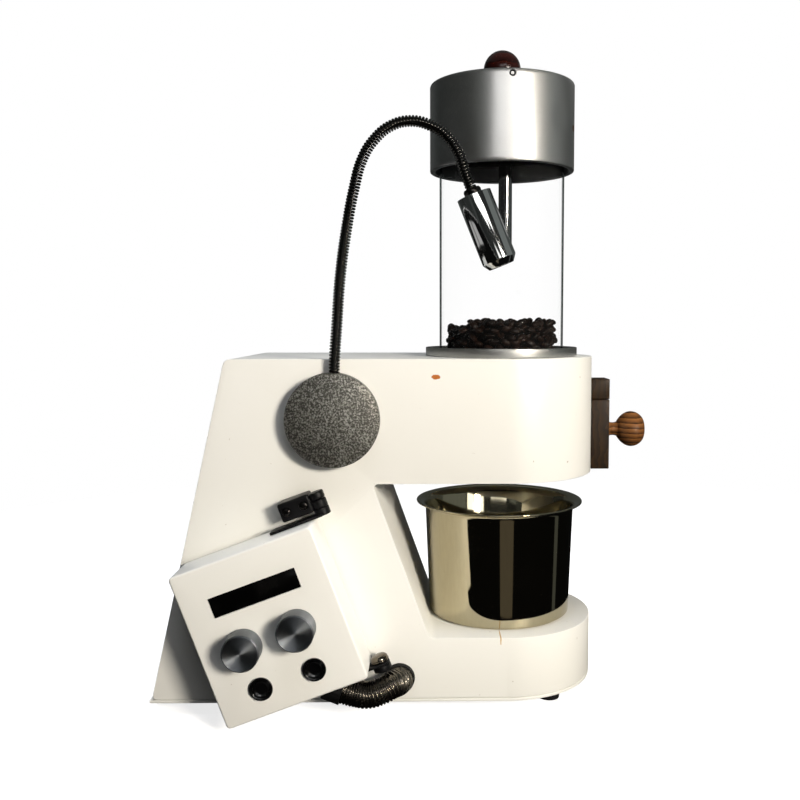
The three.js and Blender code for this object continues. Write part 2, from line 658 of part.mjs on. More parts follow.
// Gate carriage: a screened deck that carries the beans, over a solid deck that holds the air in
const carriageHalf = guideHalf - housing.wall - gap;
const carriageTop = Math.min(guideTop - housing.wall, throatFoot) - gap;
const carriageFoot = guideFoot + housing.wall + gap;
const screenHoles = [];
for (let row = -gate.screenHoles; row <= gate.screenHoles; row += 1) {
  for (let column = -gate.screenHoles; column <= gate.screenHoles; column += 1) {
    const [x, y] = [column * gate.screenPitch, row * gate.screenPitch];
    screenHoles.push(bar(
      gate.screenHoleRadius, [x, y, carriageTop - gate.deck - overrun], [x, y, carriageTop + overrun],
      steps.fine / 2,
    ));
  }
}
add('gate_carriage', cut(
  slab([-gate.length / 2, -carriageHalf, carriageFoot], [gate.length / 2, carriageHalf, carriageTop]),
  slab(
    [-gate.length / 2 - overrun, -carriageHalf + gate.web, carriageFoot + gate.deck],
    [gate.length / 2 - gate.web, carriageHalf - gate.web, carriageTop - gate.deck],
  ),
  bar(gate.rodRadius + gap, [0, 0, gateZ], [gate.length, 0, gateZ], steps.small),
  ...screenHoles,
), 'steel');
const blockFace = halfDepth + gap;
const blockEnd = halfDepth + block.thickness;
const knobFoot = blockEnd + gap;
const rodEnd = knobFoot + knob.neckLength + knob.grip;
const rodStart = gate.length / 2 - gate.web;
add('gate_rod', joined(
  bar(gate.rodRadius, [rodStart - gate.rodRadius, 0, gateZ], [rodEnd, 0, gateZ], steps.small),
  bar(2 * gate.rodRadius, [rodStart - gap - gate.rodRadius, 0, gateZ], [rodStart - gap, 0, gateZ],
    steps.small),
), 'steel');
const knobShares = [[0.3, 0.86], [0.5, 1], [0.72, 0.94], [0.9, 0.74], [1, 0.47]];
add('gate_knob', cut(
  moved(turnedAlongX([
    [0, 0], [knob.neckRadius, 0], [knob.neckRadius, knob.neckLength],
    ...knobShares.map(([along, out]) => [out * knob.radius, knob.neckLength + along * knob.length]),
    [0, knob.neckLength + knob.length],
  ]), knobFoot, 0, gateZ),
  bar(gate.rodRadius + gap, [knobFoot - overrun, 0, gateZ], [rodEnd + gap, 0, gateZ], steps.small),
), 'stripedWood');
// The wooden block on the round end, in two pieces, hollowed to sit on it
const blockBottom = armUnder + block.belowEdge;
const blockSeam = blockBottom + block.height - block.upperHeight;
const blockTop = blockBottom + block.height;
const endTool = bar(blockFace, [0, 0, armUnder - overrun], [0, 0, armTop + overrun], 2 * steps.round);
/** One piece of the wooden block between two heights. */
function woodPiece(from, to) {
  const half = block.width / 2;
  const shape = outline([[0, -half], [blockEnd, -half], [blockEnd, half], [0, half]]);
  return cut(
    raised(shape, from, to, block.edge),
    endTool,
    bar(gate.rodRadius + gap, [0, 0, gateZ], [farEnd + block.thickness, 0, gateZ], steps.small),
  );
}
add('wood_block_lower', woodPiece(blockBottom, blockSeam - gap / 2), 'walnut');
add('wood_block_upper', woodPiece(blockSeam + gap / 2, blockTop), 'walnut');

// Heater: a steel tube with a flange on the gate housing, and a finned ceramic core inside it
const heaterEnd = -housing.leftReach - gap;
const heaterStart = heaterEnd - heater.length;
const heaterBore = heater.radius - heater.wall;
const portHalf = housing.height / 2 - housing.wall;
add('heater_tube', cut(
  joined(
    bar(heater.radius, [heaterStart, 0, gateZ], [heaterEnd, 0, gateZ]),
    slab([heaterEnd - heater.flange, -guideHalf, guideFoot], [heaterEnd, guideHalf, guideTop]),
    slab([heaterStart, -guideHalf, guideFoot], [heaterStart + heater.flange, guideHalf, guideTop]),
  ),
  bar(heaterBore, [heaterStart + heater.flange, 0, gateZ], [heaterEnd - heater.flange, 0, gateZ]),
  bar(portHalf, [heaterStart - overrun, 0, gateZ], [heaterEnd + overrun, 0, gateZ]),
), 'steel');
const coreStart = heaterStart + heater.coreMargin;
const coreEnd = heaterEnd - heater.coreMargin;
const finShapes = [];
for (let i = 0; i < heater.fins / 2; i += 1) {
  const fin = new THREE.BoxGeometry(coreEnd - coreStart, 2 * (heaterBore - gap), heater.finThickness);
  fin.rotateX((i * 2 * Math.PI) / heater.fins);
  fin.translate((coreStart + coreEnd) / 2, 0, gateZ);
  finShapes.push(solid(fin));
}
add('heater_core', joined(
  bar(heater.coreHub, [coreStart, 0, gateZ], [coreEnd, 0, gateZ], steps.fine),
  ...finShapes,
), 'ceramic');

// Blower: a scroll whose duct feeds the heater, its impeller and the motor behind it
const blowerX = -blower.axisReach;
const blowerZ = gateZ + blower.ductHeight / 2 - blower.radius;
const blowerHalf = blower.width / 2;
const ductEnd = heaterStart - gap;
/** Outline of the scroll and its duct, made smaller by a wall. */
function scroll(wall, end) {
  const radius = blower.radius - wall;
  const ductFoot = blowerZ + blower.radius - blower.ductHeight + wall;
  const reach = Math.sqrt(radius ** 2 - (ductFoot - blowerZ) ** 2);
  const shape = new THREE.Shape();
  const leave = Math.asin((ductFoot - blowerZ) / radius);
  shape.moveTo(blowerX, blowerZ + radius);
  shape.absarc(blowerX, blowerZ, radius, quarterTurn, 2 * Math.PI + leave, false);
  shape.lineTo(Math.max(end, blowerX + reach), ductFoot);
  shape.lineTo(Math.max(end, blowerX + reach), blowerZ + radius);
  shape.closePath();
  return shape;
}
add('blower_housing', cut(
  acrossBody(scroll(0, ductEnd), -blowerHalf, blowerHalf),
  acrossBody(scroll(blower.wall, ductEnd + overrun), -blowerHalf + blower.wall, blowerHalf - blower.wall),
  bar(blower.inletRadius, [blowerX, -blowerHalf - overrun, blowerZ], [blowerX, 0, blowerZ]),
  bar(blower.shaftRadius + gap, [blowerX, 0, blowerZ], [blowerX, blowerHalf + overrun, blowerZ], steps.fine),
), 'blackSatin');
const wheelHalf = blower.impellerWidth / 2;
const bladeShapes = [];
for (let i = 0; i < blower.blades; i += 1) {
  const blade = new THREE.BoxGeometry(blower.bladeDepth, blower.impellerWidth, blower.bladeThickness);
  blade.translate(blower.impellerRadius - blower.bladeDepth / 2 - gap, 0, 0);
  blade.rotateY((i * 2 * Math.PI) / blower.blades);
  blade.translate(blowerX, 0, blowerZ);
  bladeShapes.push(solid(blade));
}
const motorFace = blowerHalf + gap;
add('blower_impeller', joined(
  bar(blower.impellerRadius, [blowerX, wheelHalf - blower.backPlate, blowerZ], [blowerX, wheelHalf, blowerZ]),
  bar(blower.hubRadius, [blowerX, 0, blowerZ], [blowerX, wheelHalf, blowerZ], steps.small),
  bar(blower.shaftRadius, [blowerX, 0, blowerZ], [blowerX, motorFace + blower.shaftInMotor, blowerZ],
    steps.fine),
  ...bladeShapes,
), 'blackSatin');
add('blower_motor', cut(
  bar(blower.motorRadius, [blowerX, motorFace, blowerZ], [blowerX, innerHalf - gap, blowerZ]),
  bar(blower.shaftRadius + gap, [blowerX, 0, blowerZ],
    [blowerX, motorFace + blower.shaftInMotor + gap, blowerZ], steps.fine),
), 'motorGrey');

// Power board on its stand-offs in the base, with a finned heat sink
const boardFoot = plateTop + gap;
const boardUnder = boardFoot + powerBoard.standOff;
const boardTop = boardUnder + powerBoard.thickness;
const standPlaces = [-1, 1].flatMap((right) => [-1, 1].map((back) => [
  -powerBoard.x + right * (powerBoard.length / 2 - powerBoard.inset),
  back * (powerBoard.width / 2 - powerBoard.inset),
]));
add('power_board', joined(
  slab(
    [-powerBoard.x - powerBoard.length / 2, -powerBoard.width / 2, boardUnder],
    [-powerBoard.x + powerBoard.length / 2, powerBoard.width / 2, boardTop],
  ),
  ...standPlaces.map(([x, y]) => (
    bar(powerBoard.standRadius, [x, y, boardFoot], [x, y, boardTop], steps.fine)
  )),
), 'boardGreen');
const sinkFoot = boardTop + gap;
const sinkFins = [];
for (let i = 0; i < heatSink.fins; i += 1) {
  const y = ((i * 2) / (heatSink.fins - 1) - 1) * ((heatSink.width - heatSink.finThickness) / 2);
  sinkFins.push(slab(
    [-powerBoard.x - heatSink.length / 2, y - heatSink.finThickness / 2, sinkFoot],
    [-powerBoard.x + heatSink.length / 2, y + heatSink.finThickness / 2, sinkFoot + heatSink.finHeight],
  ));
}
add('heat_sink', joined(
  slab(
    [-powerBoard.x - heatSink.length / 2, -heatSink.width / 2, sinkFoot],
    [-powerBoard.x + heatSink.length / 2, heatSink.width / 2, sinkFoot + heatSink.base],
  ),
  ...sinkFins,
), 'satinAluminium');

// Pot: thin stainless steel, rounded at the bottom and flared to a lip
const potFoot = baseTop + gap;
const potTop = potFoot + pot.height;
const potOuter = [];
const potInner = [];
for (let i = 0; i <= steps.corner; i += 1) {
  const angle = (i * quarterTurn) / steps.corner;
  const centre = pot.bottomRadius - pot.cornerRadius;
  const inside = pot.cornerRadius - pot.wall;
  potOuter.push([
    centre + pot.cornerRadius * Math.sin(angle), potFoot + pot.cornerRadius * (1 - Math.cos(angle)),
  ]);
  potInner.unshift([
    centre + inside * Math.sin(angle), potFoot + pot.cornerRadius - inside * Math.cos(angle),
  ]);
}
const potNeck = potTop - pot.neckDrop - pot.rimFlare;
add('bean_pot', moved(turned([
  [0, potFoot], ...potOuter, [pot.topRadius, potNeck],
  [pot.topRadius + pot.rimFlare / 2, potTop - pot.neckDrop], [pot.rimRadius, potTop - pot.wall],
  [pot.rimRadius, potTop], [pot.rimRadius - pot.rimFlare, potTop - pot.wall / 2],
  [pot.topRadius + pot.rimFlare / 2 - pot.wall, potTop - pot.neckDrop + pot.wall],
  [pot.topRadius - pot.wall, potNeck + pot.wall / 2], ...potInner, [0, potFoot + pot.wall],
]), -pot.leftOfAxis, 0, 0), 'chrome');

// Control box: a shell open at the back, its back plate, and all that it carries
const boxBack = box.standOff;
const boxFront = boxBack + box.depth;
const boxInside = boxFront - box.wall;
const boxHalf = box.width / 2;
/** A round-cornered rectangle about the middle of the control box, made smaller by a margin. */
function boxOutline(margin) {
  const [x, y] = [boxHalf - margin, boxTopY - margin];
  return rounded([[-x, -y], [x, -y], [x, y], [-x, y]], Math.max(box.cornerReach - margin, gap));
}
const dialSpots = [['left', -controls.spread], ['right', controls.spread]];
const windowFoot = display.raise - display.height / 2;
const windowTop = display.raise + display.height / 2;
// The conduit's end and the elbow that takes it, in the frame of the control box
const toBox = tilted.matrix.clone().invert();
const conduitPoints = conduitRoute.map(([along, above, out]) => (
  new THREE.Vector3(along - grommet.x, above + grommet.up, out)
));
const hoseEnd = conduitPoints[conduitPoints.length - 1].clone().applyMatrix4(toBox);
const hoseBefore = conduitPoints[conduitPoints.length - 2].clone().applyMatrix4(toBox);
const hoseWay = hoseEnd.clone().sub(hoseBefore).normalize();
const mouth = hoseEnd.clone().addScaledVector(hoseWay, -elbow.grip);
const elbowCentre = hoseEnd.clone().addScaledVector(hoseWay, elbow.barrelRadius - elbow.grip / 2);
const boxFoot = -boxTopY;
const elbowTop = boxFoot - gap;
add('box_shell', cut(
  raised(boxOutline(0), boxBack - box.edge, boxFront, box.edge, steps.corner),
  slab([-box.width, -box.height, boxBack - box.edge - overrun], [box.width, box.height, boxBack]),
  raised(boxOutline(box.wall), boxBack - overrun, boxInside, 0, steps.corner),
  slab(
    [-display.width / 2, windowFoot, boxInside - overrun],
    [display.width / 2, windowTop, boxFront + overrun],
  ),
  ...dialSpots.flatMap(([, x]) => [
    bar(dial.bushingRadius + gap, [x, -controls.dialDrop, boxInside - overrun],
      [x, -controls.dialDrop, boxFront + overrun], steps.small),
    bar(button.barrelRadius + gap, [x, -controls.buttonDrop, boxInside - overrun],
      [x, -controls.buttonDrop, boxFront + overrun], steps.medium),
  ]),
  bar(elbow.stubRadius + gap, [elbowCentre.x, boxFoot - overrun, elbowCentre.z],
    [elbowCentre.x, boxFoot + box.wall + overrun, elbowCentre.z], steps.small),
), 'cream', tilted);
add('box_back_plate', raised(
  boxOutline(box.wall + gap), boxBack, boxBack + box.wall, 0, steps.corner,
), 'cream', tilted);
add('display_window', slab(
  [-display.width / 2 + gap, windowFoot + gap, boxInside],
  [display.width / 2 - gap, windowTop - gap, boxFront - gap],
), 'displayBlack', tilted);
const moduleFront = boxInside - gap;
const moduleBack = moduleFront - display.moduleDepth;
add('display_module', slab(
  [-display.moduleWidth / 2, display.raise - display.moduleHeight / 2, moduleBack],
  [display.moduleWidth / 2, display.raise + display.moduleHeight / 2, moduleFront],
), 'boardGreen', tilted);
const boardFront = moduleBack - gap;
const boardHalf = boxHalf - box.wall - board.sideMargin;
add('control_board', slab(
  [-boardHalf, -board.drop, boardFront - board.thickness],
  [boardHalf, boxTopY - box.wall - board.topMargin, boardFront],
), 'boardGreen', tilted);
const dialFoot = boxFront + dial.lift;
const encoderMiddle = boardFront + dial.bodyDepth / 2;
for (const [side, x] of dialSpots) {
  const y = -controls.dialDrop;
  const half = dial.bodySize / 2;
  add(`encoder_${side}`, joined(
    slab([x - half, y - half, boardFront + gap], [x + half, y + half, boardFront + dial.bodyDepth]),
    bar(dial.bushingRadius, [x, y, encoderMiddle], [x, y, boxFront + dial.lift / 2], steps.small),
    bar(dial.shaftRadius, [x, y, encoderMiddle], [x, y, dialFoot + dial.boreDepth - gap], steps.small),
  ), 'steel', tilted);
  add(`dial_${side}`, cut(
    moved(turned([
      [0, 0], [dial.radius, 0], [dial.radius, dial.length - dial.edge],
      [dial.radius - dial.edge, dial.length], [0, dial.length],
    ]), x, y, dialFoot),
    bar(dial.shaftRadius + gap, [x, y, dialFoot - overrun], [x, y, dialFoot + dial.boreDepth], steps.small),
  ), 'satinAluminium', tilted);
}
const bezelFoot = boxFront + gap;
const bezelTop = bezelFoot + button.bezelHeight;
const capBoreRadius = button.capRadius + gap;
const capFace = bezelTop + button.capProud;
const capBack = capFace - button.capLength;
for (const [side, x] of dialSpots) {
  const y = -controls.buttonDrop;
  add(`button_bezel_${side}`, cut(
    joined(
      bar(button.bezelRadius, [x, y, bezelFoot], [x, y, bezelTop], steps.medium,
        button.bezelRadius - button.dish),
      bar(button.barrelRadius, [x, y, bezelTop - button.barrelLength], [x, y, bezelTop - button.dish]),
    ),
    bar(capBoreRadius, [x, y, capBack - button.travel - gap], [x, y, bezelTop + overrun]),
  ), 'blackGloss', tilted);
  add(`button_cap_${side}`, moved(turned([
    [0, 0], [button.capRadius, 0], [button.capRadius, button.capLength],
    [button.dishShare * button.capRadius, button.capLength], [0, button.capLength - button.dish],
  ], steps.medium), x, y, capBack), 'blackGloss', tilted);
}

// Upper hinge: a block screwed to the panel, a leaf on top of the box, and the pin through both
const blockRight = blockLeft + hinge.blockWidth;
const knuckleFoot = boxTopY + gap + hinge.knuckle + gap;
const knuckleTop = knuckleFoot + hinge.knuckle;
/** A bar along the hinge line between two heights. */
function onHinge(radius, from, to, sides = steps.medium) {
  return bar(radius, [hingeX, from, hinge.offPanel], [hingeX, to, hinge.offPanel], sides);
}
const headSeat = gap + hinge.blockDepth;
add('hinge_block', cut(
  joined(
    slab([blockLeft, blockFoot, gap], [blockRight, blockFoot + hinge.blockHeight, headSeat]),
    slab([blockRight - hinge.radius, knuckleFoot, hinge.offPanel - hinge.radius + gap],
      [hingeX, knuckleTop, headSeat]),
    onHinge(hinge.radius, knuckleFoot, knuckleTop),
  ),
  onHinge(hinge.pinRadius + gap, knuckleFoot - overrun, knuckleTop + overrun, steps.small),
  onHinge(hinge.radius + gap, knuckleTop, knuckleTop + hinge.headHeight + overrun),
  onHinge(hinge.radius + gap, knuckleFoot - hinge.knuckle - overrun, knuckleFoot),
  ...screwXs.map((x) => bar(hinge.screwRadius + gap, [x, screwY, -overrun], [x, screwY, headSeat + overrun],
    steps.fine)),
), 'blackSatin', tilted);
screwXs.forEach((x, i) => {
  const seat = headSeat + gap;
  add(`hinge_screw_${i + 1}`, cut(
    joined(
      bar(hinge.screwHead, [x, screwY, seat], [x, screwY, seat + hinge.screwHeadHeight], steps.small),
      bar(hinge.screwRadius, [x, screwY, -body.wall - gap], [x, screwY, seat + gap], steps.fine),
    ),
    slab(
      [x - hinge.screwHead, screwY - hinge.slotWidth / 2, seat + hinge.screwHeadHeight / 2],
      [x + hinge.screwHead, screwY + hinge.slotWidth / 2, seat + 2 * hinge.screwHeadHeight],
    ),
  ), 'steel', tilted);
});
const leafLeft = boxHalf - hinge.leafLength;
const leafBack = hinge.offPanel - hinge.radius;
add('hinge_leaf_upper', cut(
  joined(
    slab([leafLeft, boxTopY + gap, leafBack], [hingeX, leafTop, leafBack + hinge.leafDepth]),
    onHinge(hinge.radius, boxTopY + gap, knuckleFoot - gap),
  ),
  onHinge(hinge.pinRadius + gap, boxTopY, knuckleFoot + overrun, steps.small),
), 'blackSatin', tilted);
add('hinge_pin_upper', joined(
  onHinge(hinge.radius, knuckleTop + gap, knuckleTop + gap + hinge.headHeight),
  onHinge(hinge.pinRadius, boxTopY + gap, knuckleTop + hinge.headHeight, steps.small),
), 'blackSatin', tilted);

// Lower hinge: a post on the panel, a leaf under the box, and a domed pin through both
add('pivot_post', cut(
  joined(
    onHinge(pivot.radius, postFoot, postTop),
    slab([hingeX - pivot.bracketWidth / 2, postFoot, gap],
      [hingeX + pivot.bracketWidth / 2, postTop, hinge.offPanel]),
    bar(pivot.studRadius, [hingeX, studY, -body.wall - gap], [hingeX, studY, hinge.offPanel], steps.fine),
  ),
  onHinge(hinge.pinRadius + gap, postTop - pivot.pinReach - gap, postTop + overrun, steps.small),
), 'blackSatin', tilted);
add('hinge_leaf_lower', cut(
  joined(
    slab([boxHalf - pivot.leafLength, leafUnder, leafBack],
      [hingeX, -boxTopY - gap, leafBack + hinge.leafDepth]),
    onHinge(pivot.radius, leafUnder, -boxTopY - gap),
  ),
  onHinge(hinge.pinRadius + gap, leafUnder - overrun, -boxTopY, steps.small),
), 'blackSatin', tilted);
const domeFoot = -boxTopY;
add('pivot_pin', joined(
  onHinge(hinge.pinRadius, postTop - pivot.pinReach, domeFoot + gap, steps.small),
  bar(pivot.radius, [hingeX, domeFoot, hinge.offPanel], [hingeX, domeFoot + pivot.domeHeight, hinge.offPanel],
    steps.medium, pivot.domeShare * pivot.radius),
), 'chrome', tilted);

// Conduit: grommet in the panel, ribbed hose, and the elbow under the control box
const neckOuter = grommet.neck / 2 + conduit.radius;
/** A bar along the grommet's axis between two distances off the panel. */
function throughGrommet(radius, from, to, endRadius = radius) {
  const [start, end] = [from, to].map((out) => [-grommet.x, grommet.up, out]);
  return bar(radius, start, end, steps.medium, endRadius);
}
add('grommet', cut(
  joined(
    throughGrommet(grommet.radius, gap, gap + grommet.height, grommet.radius - grommet.neck / 2),
    throughGrommet(neckOuter, -body.wall - gap, grommet.height / 2),
  ),
  throughGrommet(conduit.radius + gap, -body.wall - overrun, grommet.height + overrun),
), 'rubber', front);
add('conduit', ribbedHose(conduitPoints, conduit, 'conduit'), 'blackChrome', front);
const socketRadius = conduit.radius + gap + elbow.wall;
const elbowBody = cut(
  joined(
    bar(elbow.barrelRadius, [elbowCentre.x, elbowCentre.y - elbow.barrelDrop, elbowCentre.z],
      [elbowCentre.x, boxFoot, elbowCentre.z]),
    bar(socketRadius, elbowCentre.toArray(), mouth.toArray()),
  ),
  slab([-box.width, elbowTop, 0], [box.width, 0, boxFront]),
);
add('conduit_elbow', cut(
  joined(elbowBody, bar(
    elbow.stubRadius, elbowCentre.toArray(), [elbowCentre.x, boxFoot + elbow.stubLength, elbowCentre.z],
    steps.small,
  )),
  bar(conduit.radius + gap, hoseEnd.clone().addScaledVector(hoseWay, gap).toArray(),
    mouth.clone().addScaledVector(hoseWay, -overrun).toArray()),
  bar(conduit.boreRadius, elbowCentre.toArray(), mouth.toArray(), steps.small),
), 'blackSatin', tilted);

// Lamp: a magnetic disc on the panel, a gooseneck from its rim, and the head with its lens
const neckOut = gap + lamp.discThickness / 2;
const neckSpots = neckRoute.map(([along, above]) => (
  new THREE.Vector3(along - lamp.discX, above + lamp.discUp, neckOut)
));
const neckStart = neckSpots[0];
add('lamp_disc', cut(
  moved(turned([
    [0, 0], [lamp.discRadius, 0], [lamp.discRadius, lamp.discThickness - lamp.discEdge],
    [lamp.discRadius - lamp.discEdge, lamp.discThickness], [0, lamp.discThickness],
  ]), -lamp.discX, lamp.discUp, gap),
  bar(neck.radius + gap, neckStart.toArray(),
    [neckStart.x, neckStart.y + lamp.discRadius, neckOut], steps.small),
), 'castGrey', front);
const headAngle = THREE.MathUtils.degToRad(lamp.headAxisAngle);
const headWay = new THREE.Vector3(Math.sin(headAngle), -Math.cos(headAngle), 0);
const headTop = neckSpots[neckSpots.length - 1];
/** A point on the lamp head's axis. */
function onHead(distance) {
  return headTop.clone().addScaledVector(headWay, distance).toArray();
}
const neckFoot = neckStart.clone().add(new THREE.Vector3(0, gap, 0));
const neckPoints = [neckFoot, ...neckSpots.slice(1), new THREE.Vector3(...onHead(lamp.neckGrip))];
add('lamp_neck', ribbedHose(neckPoints, neck, 'gooseneck'), 'blackChrome', front);
add('lamp_head', cut(
  joined(
    bar(lamp.headRadius, onHead(0), onHead(lamp.headLength - lamp.tipLength)),
    bar(lamp.headRadius, onHead(lamp.headLength - lamp.tipLength), onHead(lamp.headLength), steps.medium,
      lamp.tipRadius),
    bar(lamp.ferruleRadius, onHead(-lamp.ferruleLength), onHead(lamp.ferruleLength), steps.small),
  ),
  bar(neck.radius + gap, onHead(-lamp.ferruleLength - overrun), onHead(lamp.neckGrip + gap), steps.small),
  bar(lamp.lensRadius + gap, onHead(lamp.headLength - lamp.lensDepth), onHead(lamp.headLength + overrun)),
), 'chrome', front);
add('lamp_lens', bar(
  lamp.lensRadius, onHead(lamp.headLength - lamp.lensDepth + gap),
  onHead(lamp.headLength - lamp.lensDepth + gap + lamp.lensThickness),
), 'clearGlass', front);

// The origin goes to the middle of the part's footprint, on the table
const bounds = new THREE.Box3().setFromObject(roaster);
const middle = bounds.getCenter(new THREE.Vector3());
roaster.position.set(-middle.x, -middle.y, -bounds.min.z);

export default roaster;
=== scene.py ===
"""Looks of a countertop coffee bean roaster: fine pieces, finishes, studio and camera.

Everything is in metres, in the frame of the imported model: +Z up, -Y towards the viewer.
Pieces that turn about the roasting chamber are made on its axis and moved there.
Pieces on the front panel are made lying flat and stood up against it.
"""

import logging
import math
from collections.abc import Callable, Iterator, Sequence
from contextlib import contextmanager
from dataclasses import dataclass
from enum import Enum
from random import Random

import bmesh
import bpy
from mathutils import Matrix, Vector

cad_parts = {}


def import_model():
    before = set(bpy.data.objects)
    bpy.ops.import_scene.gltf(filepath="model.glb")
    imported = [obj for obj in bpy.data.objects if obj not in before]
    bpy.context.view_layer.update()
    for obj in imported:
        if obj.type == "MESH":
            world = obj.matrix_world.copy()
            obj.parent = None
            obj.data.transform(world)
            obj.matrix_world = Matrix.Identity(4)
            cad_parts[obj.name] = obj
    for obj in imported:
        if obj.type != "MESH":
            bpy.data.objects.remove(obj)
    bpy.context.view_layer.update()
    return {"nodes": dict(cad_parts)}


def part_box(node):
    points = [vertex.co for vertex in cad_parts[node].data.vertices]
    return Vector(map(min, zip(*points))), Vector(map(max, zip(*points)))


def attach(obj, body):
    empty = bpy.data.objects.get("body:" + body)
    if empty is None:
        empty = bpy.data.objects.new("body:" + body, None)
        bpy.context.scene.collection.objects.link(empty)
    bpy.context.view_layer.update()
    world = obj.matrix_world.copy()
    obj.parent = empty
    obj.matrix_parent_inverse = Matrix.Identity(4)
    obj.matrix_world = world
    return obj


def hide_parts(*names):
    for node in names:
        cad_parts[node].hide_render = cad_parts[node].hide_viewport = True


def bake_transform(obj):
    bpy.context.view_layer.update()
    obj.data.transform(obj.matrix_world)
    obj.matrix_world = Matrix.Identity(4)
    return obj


LOG = logging.getLogger("roaster")

GAP = 0.0003
OVERRUN = 0.005
QUARTER = math.pi / 2
FINE_ROUND = 192
ROUND = 128
BALL_ROUND = 96
SMALL_ROUND = 64
TINY_ROUND = 32
HEXAGON = 6
WELD = 1e-6
# Near-black painted shade for the inside of the cap and its screen.
HOLLOW_SHADE_COLOUR = "0d0b08"

Point2 = tuple[float, float]
Point3 = tuple[float, float, float]
Object = bpy.types.Object
Socket = bpy.types.NodeSocket


class Body(Enum):
    """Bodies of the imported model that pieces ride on."""

    HOUSING = "body"
    CAP = "cap"
    GATE = "gate"
    POT = "pot"
    LAMP = "lamp"
    CONTROL_BOX = "control_box"
    DIAL_LEFT = "dial_left"
    DIAL_RIGHT = "dial_right"
    BUTTON_LEFT = "button_left"
    BUTTON_RIGHT = "button_right"


class Slot(Enum):
    """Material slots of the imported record."""

    CREAM = "cream"
    SATIN_ALUMINIUM = "satin_aluminium"
    STEEL = "steel"
    POT_STEEL = "pot_steel"
    CHROME = "chrome"
    BLACK_CHROME = "black_chrome"
    BLACK_GLOSS = "black_gloss"
    BLACK_SATIN = "black_satin"
    BLACK_PLASTIC = "black_plastic"
    RUBBER = "rubber"
    GLASS = "glass"
    RED_WOOD = "red_wood"
    WALNUT = "walnut"
    STRIPED_WOOD = "striped_wood"
    CAST_GREY = "cast_grey"
    CERAMIC = "ceramic"
    BOARD_GREEN = "board_green"
    MOTOR_GREY = "motor_grey"


@dataclass(frozen=True)
class Span:
    """The box that one node of the model fills."""

    low: Vector
    high: Vector

    @classmethod
    def of(cls, node: str) -> "Span":
        """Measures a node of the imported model."""
        return cls(*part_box(node))

    @property
    def middle(self) -> Vector:
        """The middle of the box."""
        return (self.low + self.high) / 2

    @property
    def size(self) -> Vector:
        """The box's three sizes."""
        return self.high - self.low


def linear(colour: str) -> tuple[float, float, float, float]:
    """Turns a written colour into the values that shaders take.

    Args:
        colour: six hexadecimal digits.

    Returns:
        Linear red, green, blue and full alpha.
    """
    parts = [int(colour[i : i + 2], 16) / 255 for i in (0, 2, 4)]
    light = [p / 12.92 if p <= 0.04045 else ((p + 0.055) / 1.055) ** 2.4 for p in parts]
    return (*light, 1.0)


